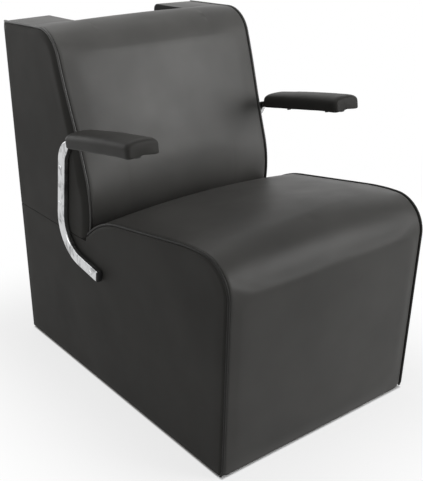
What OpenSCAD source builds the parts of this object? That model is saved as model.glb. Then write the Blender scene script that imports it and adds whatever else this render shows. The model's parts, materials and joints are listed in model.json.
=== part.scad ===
// Upholstered salon chair that carries a hair dryer behind its back.
// The base is a box whose front and seat are one padded cover, rolled over the front edge.
// The back is a second box that stands on the rear of the base, with an open notch behind it.
// X runs across, the sitter faces -Y, Z is up, and the floor is at zero.
// Side outlines are drawn as [v, z]: v is the distance in front of the rear plane.

/* [Body] */
// Width over the side covers
body_w = 580; // [520:1:660]
// Depth from the rear plane to the front of the front panel
body_d = 890; // [820:1:980]
// Height of the glides that lift the base off the floor
glide_h = 5; // [4:0.5:9]
// Height of the seam between base and back
seam_h = 380; // [350:1:400]

/* [Seat] */
// Height of the piped edge of the seat at its highest point
seat_h = 508; // [480:1:550]
// Radius of the roll between the front panel and the seat
front_roll_r = 80; // [55:1:105]
// Radius of the shoulder between the roll and the flat of the seat
shoulder_r = 600; // [450:10:800]
// Forward lean of the front panel in degrees
front_lean = 2.7; // [0:0.1:5]
// Fall of the seat towards the back in degrees
seat_slope = 8.8; // [6:0.1:11]
// Distance of the start of the rear tuck in front of the rear plane
tuck_v = 484; // [455:1:540]
// Radius of the tuck where the seat dips against the back
tuck_r = 260; // [220:5:320]
// Rise of the middle of the seat over its edges
seat_crown = 14; // [4:1:22]
// Swell of the middle of the front panel
front_crown = 6; // [2:1:12]
// Thickness of the padded cover of the seat and front panel
seat_pad_t = 24; // [16:1:32]
// Thickness of the foam under the seat cover
seat_foam_t = 50; // [30:1:70]

/* [Back] */
// Height of the piped edge of the back at its highest point
back_h = 866; // [800:1:930]
// Distance in front of the rear plane at which the line of the back's front meets the seam
back_foot_v = 393; // [370:1:420]
// Radius of the curve that draws in the foot of the back
foot_roll_r = 275; // [230:5:330]
// Height of the start of this curve over the seam
foot_roll_h = 165; // [130:5:190]
// Backward lean of the back in degrees
back_lean = 17.2; // [13:0.1:20]
// Radius of the roll at the top of the back
back_roll_r = 82; // [60:1:100]
// Fall of the top of the back towards the rear in degrees
top_slope = 1.6; // [0:0.1:5]
// Swell of the middle of the back
back_crown = 13; // [4:1:22]
// Thickness of the padded cover of the back
back_pad_t = 26; // [18:1:34]
// Width of the notch for the dryer between the wings
notch_w = 324; // [280:1:360]
// Length of the top of the back between its roll and the notch
crest_l = 42; // [30:1:60]

/* [Covers] */
// Thickness of the padding and vinyl on the sides of the base
base_side_t = 5; // [4:0.5:9]
// Thickness of the padding and vinyl on the sides of the back
back_side_t = 13; // [9:0.5:18]
// Edge radius of the side covers of the base
base_edge_r = 2.5; // [1.5:0.5:3.5]
// Edge radius of the side covers of the back
back_edge_r = 9; // [5:0.5:12]
// Diameter of the piping
welt_dia = 6; // [5:0.5:8]
// Thickness of the rear covers
rear_cover_t = 3; // [2:0.5:5]
// Thickness of the lining of the notch
lining_t = 2; // [1.5:0.5:3]

/* [Frame] */
// Thickness of the plywood side panels
panel_t = 18; // [15:1:21]
// Thickness of the plywood boards between the panels
board_t = 12; // [9:1:15]
// Width of the timber rails
rail_w = 40; // [30:1:45]
// Height of the timber rails
rail_h = 30; // [25:1:40]
// Side of the square deck cleats
cleat_w = 22; // [16:1:28]
// Leg of the triangular corner blocks
block_leg = 70; // [55:1:85]
// Diameter of a glide
glide_dia = 28; // [22:1:32]
// Thickness of the dust cover under the base
dust_t = 1.5; // [1:0.5:2.5]

/* [Dryer mounting] */
// Thickness of the mounting board in the notch
dryer_board_t = 18; // [15:1:22]
// Distance across between the bracket holes
dryer_pitch_x = 160; // [100:1:200]
// Distance up between the bracket holes
dryer_pitch_z = 200; // [120:1:220]
// Diameter of the bracket holes
dryer_hole_dia = 8; // [6:0.5:10]

/* [Arms] */
// Width of the arm tube across the chair
tube_t = 16; // [14:0.5:20]
// Depth of the arm tube in the plane of its bends
tube_h = 28; // [24:0.5:32]
// Wall of the arm tube
tube_wall = 1.5; // [1.2:0.1:2.5]
// Depth of the tube where it is pressed flat under the pad
tube_top_h = 17; // [14:0.5:20]
// Part of the upper bend in degrees over which the tube is pressed flat
neck_sweep = 35; // [25:1:50]
// Distance of the tube's upright behind the line of the back's front
arm_set = 61; // [50:1:75]
// Height of the upper bend's centre
arm_h = 560; // [530:1:580]
// Centreline radius of the upper bend
upper_bend_r = 55.5; // [45:0.5:65]
// Centreline radius of the lower bend
lower_bend_r = 89; // [75:0.5:105]
// Length of the straight run between the bends
tube_run = 141; // [125:1:155]
// Length of the tube beyond the lower bend
tube_foot = 84; // [70:1:95]
// Rise of the pad towards the front in degrees
pad_rise = 8.6; // [4:0.1:11]
// Lean of the upright run in degrees
upright_lean = 9.6; // [6:0.1:12]
// Fall of the foot of the tube in degrees
foot_fall = 9; // [5:0.1:12]

/* [Arm pads] */
// Length of an arm pad
pad_l = 268; // [230:1:300]
// Width of an arm pad
pad_w = 80; // [70:1:92]
// Height of an arm pad at its crown
pad_h = 35; // [30:1:42]
// Distance between the upper bend and the rear end of the pad
pad_start = 38; // [30:1:60]
// Width of the wooden core of the pad
core_w = 62; // [54:1:64]
// Thickness of the wooden core of the pad
core_t = 12; // [9:1:14]

/* [Hidden] */

LEFT = -1;
RIGHT = 1;

// Clearance between soft pieces and their neighbours
soft_gap = 0.3;
// Clearance between base and back at their seam
seam_gap = 0.5;
// Overrun of every cut past the face that it opens
over = 1;
// Segments of small round parts
round_fn = 32;

vinyl = [0.26, 0.26, 0.25];
vinyl_side = [0.2, 0.2, 0.19];
piping = [0.12, 0.12, 0.12];
timber = [0.76, 0.62, 0.42];
ply = [0.82, 0.7, 0.5];
foam = [0.9, 0.86, 0.7];
chrome = [0.8, 0.81, 0.82];
plastic = [0.08, 0.08, 0.08];
zinc = [0.7, 0.7, 0.68];
cambric = [0.1, 0.1, 0.1];

half_w = body_w / 2;

// Straight blend from a to b
function mix(a, b, f) = a + (b - a) * f;
// Blend that starts and ends level
function ease(f) = f * f * (3 - 2 * f);
// Point of a side outline in space
function at(x, p) = [x, body_d / 2 - p[0], p[1]];
// Unit vector at an angle
function dir(a) = [cos(a), sin(a)];

// Draws a side outline's plane as [v, z], with X as its height
module side_plane() {
    translate([0, body_d / 2, 0]) mirror([0, 1, 0]) rotate([90, 0, 90]) children();
}
// Extrudes a side outline across the chair from x
module slab(x, w) {
    translate([x, 0, 0]) side_plane() linear_extrude(w) children();
}
// Extrudes a side outline evenly about the middle plane
module span(w) {
    slab(-w / 2, w) children();
}
// Pieces are drawn for the right and mirrored for the left
module on_side(side) {
    mirror([side < 0 ? 1 : 0, 0, 0]) children();
}
// Closed skin through a row of loops, each with the same number of points.
// The ends are plain faces, or fans about the point whose place in the loop is hub.
module loft(loops, hub = -1) {
    n = len(loops[0]);
    last = (len(loops) - 1) * n;
    skin = [for (i = [0 : len(loops) - 2], j = [0 : n - 1]) each [
        [i * n + j, i * n + (j + 1) % n, (i + 1) * n + (j + 1) % n],
        [i * n + j, (i + 1) * n + (j + 1) % n, (i + 1) * n + j]]];
    ends = hub < 0 ? [[for (j = [n - 1 : -1 : 0]) j], [for (j = [0 : n - 1]) last + j]] :
        [for (j = [0 : n - 1], k = [(j + 1) % n]) if (j != hub && k != hub)
            each [[hub, k, j], [last + hub, last + j, last + k]]];
    polyhedron([for (l = loops) each l], concat(skin, ends), convexity = 4);
}

// Side outline of the seat: front panel, roll, shoulder, flat and tuck.
// A station is [part, fraction along it], and d is a depth under the surface.
roll_c = [body_d - front_crown - front_roll_r, seat_h - front_roll_r];
function roll_point(d, f) = roll_c + (front_roll_r - d) * dir(mix(-front_lean, 90, f));
shoulder_c = roll_c + (front_roll_r - shoulder_r) * dir(90);
function shoulder_point(d, f) = shoulder_c + (shoulder_r - d) * dir(90 + seat_slope * f);
function foot_point(d) = let (p = roll_point(d, 0))
    [p[0] - (p[1] - glide_h) * tan(front_lean), glide_h];
tuck_start = let (p = shoulder_point(0, 1)) [tuck_v, p[1] - (p[0] - tuck_v) * tan(seat_slope)];
tuck_c = tuck_start - tuck_r * dir(90 + seat_slope);
function tuck_first(d) = tuck_c + (tuck_r - d) * dir(90 + seat_slope);
// The tuck ends on the curved foot of the back, at a clearance g from it. Below the surface
// its end is square to the surface.
function tuck_end(d, g) = let (r = tuck_r - min(d, 0), q = foot_c - tuck_c, l = norm(q))
    atan2(q[1], q[0]) - acos((r * r + l * l - pow(foot_roll_r + g, 2)) / (2 * r * l));
function tuck_point(d, f, g) = tuck_c + (tuck_r - d) * dir(mix(90 + seat_slope, tuck_end(d, g), f));
function seat_point(s, d, g = soft_gap) =
    s[0] == 0 ? mix(foot_point(d), roll_point(d, 0), s[1]) :
    s[0] == 1 ? roll_point(d, s[1]) :
    s[0] == 2 ? shoulder_point(d, s[1]) :
    s[0] == 3 ? mix(shoulder_point(d, 1), tuck_first(d), s[1]) :
    tuck_point(d, s[1], g);
function stations(counts) = [for (k = [0 : len(counts) - 1], i = [k == 0 ? 0 : 1 : counts[k]])
    [k, i / counts[k]]];
seat_fine = stations([5, 10, 3, 5, 7]);
seat_plain = stations([1, 10, 4, 1, 7]);
function seat_swell(s) =
    s[0] == 0 ? front_crown * mix(foot_crown_share, 1, ease(s[1])) :
    s[0] == 1 ? mix(front_crown, seat_crown, ease(s[1])) :
    s[0] < 4 ? seat_crown :
    mix(seat_crown, seat_crown * tuck_crown_share, ease(s[1]));
// Parts of the crown that are left at the foot of the front panel and at the back
foot_crown_share = 0.15;
tuck_crown_share = 0.75;

// Side outline of the back: curved foot, front, roll and top
foot_top = [back_foot_v - foot_roll_h * tan(back_lean), seam_h + foot_roll_h];
foot_c = foot_top - foot_roll_r * dir(back_lean);
back_roll_z = back_h - back_roll_r;
back_roll_v = back_foot_v - (back_roll_z + back_roll_r * sin(back_lean) - seam_h) * tan(back_lean)
    - back_roll_r * cos(back_lean);
function back_roll_point(d, f) = [back_roll_v, back_roll_z]
    + (back_roll_r - d) * dir(mix(back_lean, 90 + top_slope, f));
// Point of the foot's curve, from the height z up to the straight front
function back_foot(d, z, f = 0) = foot_c + (foot_roll_r - d)
    * dir(mix(asin((z - foot_c[1]) / (foot_roll_r - d)), back_lean, f));
function back_top(d, v) = let (p = back_roll_point(d, 1)) [v, p[1] - (p[0] - v) * tan(top_slope)];
function back_point(s, d, z, v) =
    s[0] == 0 ? back_foot(d, z, s[1]) :
    s[0] == 1 ? mix(back_foot(d, z, 1), back_roll_point(d, 0), s[1]) :
    s[0] == 2 ? back_roll_point(d, s[1]) :
    mix(back_roll_point(d, 1), back_top(d, v), s[1]);
back_fine = stations([7, 5, 9, 2]);
back_plain = stations([7, 1, 9, 1]);
notch_d = back_roll_v - crest_l;
back_base_z = seam_h + seam_gap;
// Swell along the back: hollow behind the seat, full halfway up, little on the wings
foot_part = foot_roll_h / (back_roll_point(0, 0)[1] - seam_h);
function back_swell(s) =
    s[0] < 2 ? let (u = s[0] == 0 ? s[1] * foot_part : mix(foot_part, 1, s[1]))
        mix(-soft_gap, back_crown, ease(max(0, min(1, (u - swell_start_share) / swell_rise_share)))) :
    back_crown * (s[0] == 2 ? mix(1, crest_crown_share, ease(s[1])) :
        mix(crest_crown_share, notch_crown_share, ease(s[1])));
swell_start_share = 0.15;
swell_rise_share = 0.5;
crest_crown_share = 0.5;
notch_crown_share = 0.1;
wing_crown_share = 0.3;

// Cushion surfaces swell between their piped edges and are drawn in at the piping
cross_steps = 14;
edge_pull = 2.5;
pull_power = 8;
function cross(j) = sin(90 * (1 - 2 * j / cross_steps));
function swell(t, crown) = crown * (1 - t * t) - edge_pull * pow(abs(t), pull_power);
// Part of the piping's radius that is sunk in the seam
welt_sink_share = 0.4;
// Depth of the step that the piping lies in, and its width
welt_bed = welt_dia / 2 * (1 + welt_sink_share) + soft_gap;
welt_step = welt_dia / 2 + soft_gap;

// Sections of the covers: the swollen top, then the step for the piping, sides and underside
function seat_loop(s) = let (w = base_cover_w / 2, in_w = w - welt_step) concat(
    [for (j = [0 : cross_steps]) let (t = cross(j) * in_w / w)
        at(w * t, seat_point(s, -swell(t, seat_swell(s))))],
    [for (q = [[-in_w, welt_bed], [-w, welt_bed], [-w, seat_pad_t], [0, seat_pad_t], [w, seat_pad_t],
        [w, welt_bed], [in_w, welt_bed]]) at(q[0], seat_point(s, q[1]))]);
function back_loop(s) = let (w = back_cover_w / 2, in_w = w - welt_step) concat(
    [for (j = [0 : cross_steps]) let (t = cross(j) * in_w / w)
        at(w * t, back_point(s, -swell(t, back_swell(s)), back_base_z, notch_d))],
    [for (q = [[-in_w, welt_bed], [-w, welt_bed], [-w, back_pad_t], [0, back_pad_t], [w, back_pad_t],
        [w, welt_bed], [in_w, welt_bed]]) at(q[0], back_point(s, q[1], back_base_z, notch_d))]);
// Place in such a section of the middle of its underside
under_mid = cross_steps + 4;

// Outline of a base side piece: d under the cover's surface, e inside its seam and rear edges
function base_outline(d, e, r = 0) = concat(
    [for (s = seat_plain) seat_point(s, d, soft_gap + e)],
    let (top = max(seam_h - e + heel_step, tuck_point(d, 1, soft_gap + e)[1]))
        [for (i = [1 : heel_steps]) back_foot(-soft_gap - e, mix(top, seam_h - e, i / heel_steps))],
    [[r + e, seam_h - e], [r + e, glide_h]]);
// Points where the base follows the foot of the back down to the seam
heel_steps = 3;
heel_step = 1;
// Outline of a back side piece that starts at height z
function back_outline(d, e, z, r = 0) = concat(
    [for (s = back_plain) back_point(s, d, z + e, r + e)], [[r + e, z + e]]);

base_in_w = body_w - 2 * (base_side_t + panel_t);
back_in_w = body_w - 2 * (back_side_t + panel_t);
base_cover_w = body_w - 2 * base_side_t;
back_cover_w = body_w - 2 * back_side_t;
under_seat = seat_pad_t + soft_gap;
under_back = back_pad_t + soft_gap;

// Base

module glides() {
    color(plastic) at_glides() rotate_extrude($fn = round_fn) polygon([[0, 0],
        [glide_dia / 2 - glide_edge, 0], [glide_dia / 2, glide_edge], [glide_dia / 2, glide_h - dust_t],
        [nail_dia / 2, glide_h - dust_t], [nail_dia / 2, glide_h + nail_l], [0, glide_h + nail_l]]);
}
glide_edge = 1.5;
nail_dia = 4;
nail_l = 18;
glide_inset = 45;
// Rear edges of the bottom rails, as distances in front of the rear plane
bottom_rail_vs = [rear_cover_t + board_t, foot_point(under_seat + board_t)[0] - rail_w];
// Repeats a piece under both ends of both bottom rails
module at_glides() {
    for (x = [-1, 1], v = bottom_rail_vs)
        translate([x * (base_in_w / 2 - glide_inset), body_d / 2 - v - rail_w / 2, 0]) children();
}
module nail_holes() {
    at_glides() cylinder(d = nail_dia, h = glide_h + nail_l, $fn = round_fn);
}

module bottom_rail(k) {
    color(timber) difference() {
        translate([-base_in_w / 2, body_d / 2 - bottom_rail_vs[k] - rail_w, glide_h])
            cube([base_in_w, rail_w, rail_h]);
        nail_holes();
    }
}

// Triangular blocks in the corners between the rails and the side panels
module corner_blocks() {
    color(timber) for (x = [-1, 1], k = [0, 1]) {
        v = bottom_rail_vs[k] + (k == 0 ? rail_w : 0);
        translate([x * base_in_w / 2, body_d / 2 - v, glide_h]) linear_extrude(rail_h)
            polygon([[0, 0], [-x * block_leg, 0], [0, (k == 0 ? -1 : 1) * block_leg]]);
    }
}

module dust_cover() {
    w = base_cover_w - panel_t;
    front_v = foot_point(under_seat + board_t / 2)[0];
    color(cambric) difference() {
        translate([-w / 2, body_d / 2 - front_v, glide_h - dust_t])
            cube([w, front_v - rear_cover_t - board_t / 2, dust_t]);
        nail_holes();
    }
}

module base_panel(side) {
    color(ply) on_side(side) difference() {
        slab(base_in_w / 2, panel_t - soft_gap) polygon(base_outline(under_seat, 0, rear_cover_t));
        arm_bolt_holes(tnut_dia);
    }
}

module front_board() {
    d = under_seat;
    drop = [0, soft_gap];
    color(ply) span(base_in_w) polygon([foot_point(d), roll_point(d, 0) - drop,
        roll_point(d + board_t, 0) - drop, foot_point(d + board_t)]);
}

module rear_board() {
    color(ply) translate([-base_in_w / 2, body_d / 2 - rear_cover_t - board_t, glide_h])
        cube([base_in_w, board_t, seam_h - glide_h]);
}

// Rails that carry the back, as distances in front of the rear plane
seam_rail_vs = [rear_cover_t + board_t, back_foot(under_back + board_t, seam_h)[0] - 2 * rail_w];
module seam_rail(k) {
    color(timber) difference() {
        translate([-base_in_w / 2, body_d / 2 - seam_rail_vs[k] - rail_w, seam_h - rail_h])
            cube([base_in_w, rail_w, rail_h]);
        at_back_bolts() cylinder(d = bolt_dia, h = seam_h, $fn = round_fn);
    }
}

// Deck and foam fill the space under the seat cover, between the panels. They reach this far
// along the tuck.
deck_reach_share = 0.7;
reach_steps = 4;
deck_d = under_seat + seat_foam_t;
deck_front_v = roll_point(under_seat + board_t, 0)[0];
deck_rear_v = tuck_point(under_seat, deck_reach_share, soft_gap)[0];
// Front end of the cleats and the front rail, clear of the leaning front board
cleat_front_v = deck_front_v - 2 * rail_h * tan(front_lean);
// Point at v on the line that lies d under the flat of the seat
function deck_point(v, d) = let (p = tuck_first(d)) [v, p[1] + (v - p[0]) * tan(seat_slope)];
// Strip under the seat between two distances and two depths
function deck_strip(v0, v1, d0, d1) = [deck_point(v0, d0), deck_point(v1, d0), deck_point(v1, d1),
    deck_point(v0, d1)];
module seat_deck() {
    color(ply) span(base_in_w) polygon(deck_strip(deck_rear_v, deck_front_v, deck_d, deck_d + board_t));
}
module deck_cleats() {
    d = deck_d + board_t;
    color(timber) for (side = [LEFT, RIGHT]) on_side(side) slab(base_in_w / 2 - cleat_w, cleat_w)
        polygon(deck_strip(deck_rear_v, cleat_front_v, d, d + cleat_w));
}
module deck_rail(v) {
    d = deck_d + board_t;
    color(timber) span(base_in_w - 2 * cleat_w) polygon(deck_strip(v, v + rail_w, d, d + rail_h));
}
module seat_foam() {
    d = under_seat + soft_gap;
    color(foam) span(base_in_w - 2 * soft_gap) polygon(concat(
        [for (s = seat_plain) if (s[0] > 0 && s[0] < 4) seat_point(s, d)],
        [for (i = [1 : reach_steps]) tuck_point(d, deck_reach_share * i / reach_steps, soft_gap)],
        [deck_point(deck_rear_v, deck_d - soft_gap), deck_point(deck_front_v, deck_d - soft_gap)],
        [[deck_front_v, roll_point(under_seat + board_t, 0)[1]]]));
}

module seat_cover() {
    color(vinyl) loft([for (s = seat_fine) seat_loop(s)], under_mid);
}

welt_sides = 8;
module seat_welt(side) {
    r = welt_dia / 2;
    color(piping) on_side(side) loft([for (s = seat_fine) [for (k = [0 : welt_sides - 1])
        let (a = 360 * k / welt_sides)
        at(base_cover_w / 2 + r * cos(a), seat_point(s, r * welt_sink_share - r * sin(a)))]]);
}

edge_steps = 3;
// Side cover: a flat padded sheet whose edges are rounded towards the outside
module base_side_cover(side) {
    color(vinyl_side) on_side(side) difference() {
        loft(concat(
            [[for (p = base_outline(welt_bed, 0)) at(half_w - base_side_t + soft_gap, p)]],
            [for (i = [0 : edge_steps]) let (a = 90 * i / edge_steps, e = base_edge_r * (1 - cos(a)))
                [for (p = base_outline(welt_bed + e, e)) at(half_w - base_edge_r * (1 - sin(a)), p)]]));
        arm_bolt_holes(sleeve_dia);
    }
}

module base_rear_cover() {
    color(vinyl_side) translate([-base_cover_w / 2, body_d / 2 - rear_cover_t + soft_gap, glide_h])
        cube([base_cover_w, rear_cover_t - soft_gap, seam_h - glide_h]);
}

// Back

module back_panel(side) {
    color(ply) on_side(side) difference() {
        slab(back_in_w / 2, panel_t - soft_gap) polygon(back_outline(under_back, 0, seam_h, rear_cover_t));
        arm_bolt_holes(tnut_dia);
    }
}

pillar_x = notch_w / 2 + lining_t;
module pillar_panel(side) {
    d = under_back + board_t;
    color(ply) on_side(side) slab(pillar_x, board_t) polygon(concat(board_line(d),
        [back_roll_point(under_back, brace_share), back_roll_point(under_back, 1),
            back_top(under_back, rear_cover_t), [rear_cover_t, seam_h]]));
}
// Place along the roll where the pillar panels reach the cover
brace_share = 0.5;

// Board bent to the line of the back's front
function board_line(d) = [for (s = back_plain) if (s[0] < 2) back_point(s, d, seam_h, 0)];
module back_board() {
    inner = board_line(under_back + board_t);
    color(ply) span(back_in_w) polygon(concat(board_line(under_back),
        [for (i = [len(inner) - 1 : -1 : 0]) inner[i]]));
}

// Timber that fills the roll between the pillars
top_rail_v = notch_d + lining_t;
module back_top_rail() {
    color(timber) span(2 * pillar_x) polygon(concat(
        [for (s = back_plain) if (s[0] > 1 || s == [1, 1]) back_point(s, under_back, seam_h, top_rail_v)],
        [[top_rail_v, back_roll_point(under_back + board_t, 0)[1]],
            back_roll_point(under_back + board_t, 0)]));
}

module notch_shelf() {
    front_v = back_foot(under_back + board_t, seam_h)[0];
    color(ply) difference() {
        translate([-pillar_x, body_d / 2 - front_v, seam_h])
            cube([2 * pillar_x, front_v - rear_cover_t, panel_t]);
        at_back_bolts() cylinder(d = bolt_dia, h = seam_h + panel_t - bolt_tip, $fn = round_fn);
    }
}

// Bolts come up through the seam rails into the shelf
bolt_dia = 8;
bolt_head_dia = 13;
bolt_head_h = 5;
bolt_tip = 6;
bolt_inset = 60;
module at_back_bolts() {
    for (x = [-1, 1], v = seam_rail_vs)
        translate([x * (pillar_x - bolt_inset), body_d / 2 - v - rail_w / 2, 0]) children();
}
module back_bolts() {
    under = seam_h - rail_h;
    color(zinc) at_back_bolts() {
        translate([0, 0, under - bolt_head_h]) cylinder(d = bolt_head_dia, h = bolt_head_h, $fn = 6);
        translate([0, 0, under]) cylinder(d = bolt_dia, h = seam_h + panel_t - bolt_tip - under,
            $fn = round_fn);
    }
}

// Mounting board for the dryer's bracket, at the front of the notch
dryer_board_top = back_roll_point(under_back + board_t, 0)[1];
barrel_wall = 1;
dryer_tnut_dia = dryer_hole_dia + 2 * barrel_wall;
dryer_mid_h = (seam_h + panel_t + dryer_board_top) / 2;
module at_dryer_holes() {
    for (x = [-1, 1], z = [-1, 1])
        translate([x * dryer_pitch_x / 2, body_d / 2 - notch_d, dryer_mid_h + z * dryer_pitch_z / 2])
            rotate([90, 0, 0]) children();
}
module dryer_board() {
    color(ply) difference() {
        translate([-pillar_x, body_d / 2 - top_rail_v - dryer_board_t, seam_h + panel_t])
            cube([2 * pillar_x, dryer_board_t, dryer_board_top - seam_h - panel_t]);
        at_dryer_holes() cylinder(d = dryer_tnut_dia, h = lining_t + dryer_board_t + over, $fn = round_fn);
    }
}
// Threaded inserts: a barrel in the board and a flange on its far side
module dryer_t_nuts() {
    color(zinc) at_dryer_holes() translate([0, 0, lining_t]) difference() {
        union() {
            cylinder(d = dryer_tnut_dia, h = dryer_board_t, $fn = round_fn);
            translate([0, 0, dryer_board_t]) cylinder(d = 2 * dryer_tnut_dia, h = lining_t,
                $fn = round_fn);
        }
        translate([0, 0, -over]) cylinder(d = dryer_hole_dia, h = dryer_board_t + lining_t + 2 * over,
            $fn = round_fn);
    }
}

// Lining of the notch: two walls, the front and the floor in one folded sheet
module notch_lining() {
    wall_top = back_top(under_back, rear_cover_t)[1];
    color(vinyl_side) difference() {
        union() {
            for (side = [LEFT, RIGHT]) on_side(side) slab(notch_w / 2, lining_t) polygon([
                [rear_cover_t, seam_h + panel_t], [top_rail_v, seam_h + panel_t],
                back_top(under_back, top_rail_v), [rear_cover_t, wall_top]]);
            span(notch_w) polygon([[notch_d, seam_h + panel_t], [top_rail_v, seam_h + panel_t],
                back_top(under_back, top_rail_v), back_top(under_back, notch_d)]);
            span(notch_w) polygon([[rear_cover_t, seam_h + panel_t],
                [top_rail_v, seam_h + panel_t], [top_rail_v, seam_h + panel_t + lining_t],
                [rear_cover_t, seam_h + panel_t + lining_t]]);
        }
        at_dryer_holes() translate([0, 0, -over]) cylinder(d = dryer_hole_dia, h = lining_t + 2 * over,
            $fn = round_fn);
    }
}

module back_cover() {
    color(vinyl) loft([for (s = back_fine) back_loop(s)], under_mid);
}

// Padded tops of the wings, which carry on the surface of the back cover to the rear
wing_steps = 6;
wing_cross = 5;
module wing_top(side) {
    w = back_cover_w / 2;
    in_w = w - welt_step;
    t_in = notch_w / 2 / w;
    rows = [for (i = [0 : wing_steps]) i / wing_steps];
    function crown(f) = back_crown * mix(notch_crown_share, wing_crown_share, ease(f));
    color(vinyl) on_side(side) loft([for (f = rows) let (v = mix(notch_d - soft_gap, 0, f)) concat(
        [for (j = [0 : wing_cross]) let (t = mix(in_w / w, t_in, j / wing_cross))
            at(w * t, back_top(-swell(t, crown(f)), v))],
        [for (q = [[w * t_in, back_pad_t], [w, back_pad_t], [w, welt_bed], [in_w, welt_bed]])
            at(q[0], back_top(q[1], v))])], wing_cross + 1);
}

module back_welt(side) {
    r = welt_dia / 2;
    // It starts where it comes up from behind the seat
    foot_z = tuck_point(0, 1, soft_gap)[1];
    color(piping) on_side(side) loft([for (s = back_fine) [for (k = [0 : welt_sides - 1])
        let (a = 360 * k / welt_sides)
        at(back_cover_w / 2 + r * cos(a),
            back_point(s, r * welt_sink_share - r * sin(a), foot_z, rear_cover_t))]]);
}

module back_side_cover(side) {
    color(vinyl_side) on_side(side) difference() {
        loft(concat(
            [[for (p = back_outline(welt_bed, 0, back_base_z)) at(half_w - back_side_t + soft_gap, p)]],
            [for (i = [0 : edge_steps])
                let (a = 90 * i / edge_steps, e = back_edge_r * (1 - cos(a)), k = min(e, base_edge_r))
                [for (p = back_outline(welt_bed + e, k, back_base_z))
                    at(half_w - back_edge_r * (1 - sin(a)), p)]]));
        arm_bolt_holes(sleeve_dia);
    }
}

module wing_rear_cover(side) {
    top = back_top(under_back, 0)[1];
    color(vinyl_side) on_side(side)
        translate([notch_w / 2, body_d / 2 - rear_cover_t + soft_gap, back_base_z])
            cube([back_cover_w / 2 - notch_w / 2, rear_cover_t - soft_gap, top - back_base_z]);
}

// Arms

tube_x = half_w + soft_gap;
rear_normal = 180 - upright_lean;
front_at_arm = back_foot_v - (arm_h - seam_h) * tan(back_lean);
upper_c = [front_at_arm - arm_set - upper_bend_r * cos(rear_normal), arm_h];
// Centres and ends of the runs, walked from the upper bend down to the foot
run_top = upper_c + upper_bend_r * dir(rear_normal);
run_end = run_top - tube_run * dir(90 - upright_lean);
lower_c = run_end - lower_bend_r * dir(rear_normal);
foot_normal = 270 - foot_fall;
foot_start = lower_c + lower_bend_r * dir(foot_normal);
pad_normal = 90 + pad_rise;
pad_run_start = upper_c + upper_bend_r * dir(pad_normal);
front_cap_inset = 24;
pad_run = pad_start + pad_l - front_cap_inset;
// The runs reach this far into the bends
weld = 1;
// Bending thins the wall: the skins of a bend lie this far inside those of a run, and those of
// the neck twice as far
bend_thin = 0.05;
// Radius of the middle of the pressed part of the tube about the upper bend's centre
top_run_r = upper_bend_r + (tube_h - tube_top_h) / 2;

tube_corner_r = 3;
bend_fn = 96;
corner_steps = 3;
// Section of the tube: a rectangle with rounded corners, across by depth
function rounded_box(w, h, r) = [for (q = [[1, 1], [-1, 1], [-1, -1], [1, -1]], i = [0 : corner_steps])
    let (turn = q == [1, 1] ? 0 : q == [-1, 1] ? 90 : q == [-1, -1] ? 180 : 270)
    [q[0] * (w / 2 - r), q[1] * (h / 2 - r)] + r * dir(turn + 90 * i / corner_steps)];
module tube_section(h, thin = 0) {
    wall = tube_wall - thin;
    difference() {
        polygon(rounded_box(h - 2 * thin, tube_t - 2 * thin, tube_corner_r - thin));
        square([h - 2 * wall, tube_t - 2 * wall], center = true);
    }
}
// A bend about a centre in the side plane, from one angle through a sweep
module bend(c, r, a, sweep) {
    translate(c) rotate(a) rotate_extrude(angle = sweep, $fn = bend_fn) translate([r, tube_t / 2])
        tube_section(tube_h, bend_thin);
}
// A straight run of the tube from a point along an angle, lengthened by two amounts
module run(p, a, l, h, before = 0, after = 0) {
    translate([p[0], p[1], tube_t / 2]) rotate(a) rotate([90, 0, 90])
        translate([0, 0, -before]) linear_extrude(before + l + after) tube_section(h);
}
// End of the upper bend, where the tube is pressed from its full depth to that of the top run.
// The outer side keeps its radius. A place is a fraction along the neck.
neck_steps = 7;
function neck_h(f) = mix(tube_h, tube_top_h, ease(max(0, min(1, f))));
function neck_place(f, q) = let (h = neck_h(f))
    concat(upper_c + (upper_bend_r + (tube_h - h) / 2 + q[0]) * dir(pad_normal + neck_sweep * (1 - f)),
        [tube_t / 2 + q[1]]);
module neck() {
    thin = 2 * bend_thin;
    wall = tube_wall - thin;
    start = -weld * 360 / (2 * PI * upper_bend_r * neck_sweep);
    fs = [for (i = [0 : neck_steps]) mix(1, start, i / neck_steps)];
    difference() {
        loft([for (f = fs) [for (q = rounded_box(neck_h(f) - 2 * thin, tube_t - 2 * thin,
            tube_corner_r - thin)) neck_place(f, q)]]);
        loft([for (f = concat([1 - start], fs, [2 * start])) [for (q = rounded_box(neck_h(f) - 2 * wall,
            tube_t - 2 * wall, thin)) neck_place(f, q)]]);
    }
}

module arm_tube(side) {
    color(chrome) on_side(side) difference() {
        translate([tube_x, 0, 0]) side_plane() {
            run(upper_c + top_run_r * dir(pad_normal), pad_rise, pad_run, tube_top_h, weld);
            neck();
            bend(upper_c, upper_bend_r, pad_normal + neck_sweep, rear_normal - pad_normal - neck_sweep);
            run(run_end, 90 - upright_lean, tube_run, tube_h, weld, weld);
            bend(lower_c, lower_bend_r, rear_normal, foot_normal - rear_normal);
            run(foot_start, -foot_fall, tube_foot, tube_h, weld);
        }
        arm_bolt_holes(arm_bolt_dia);
        pad_screw_holes();
    }
}

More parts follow.
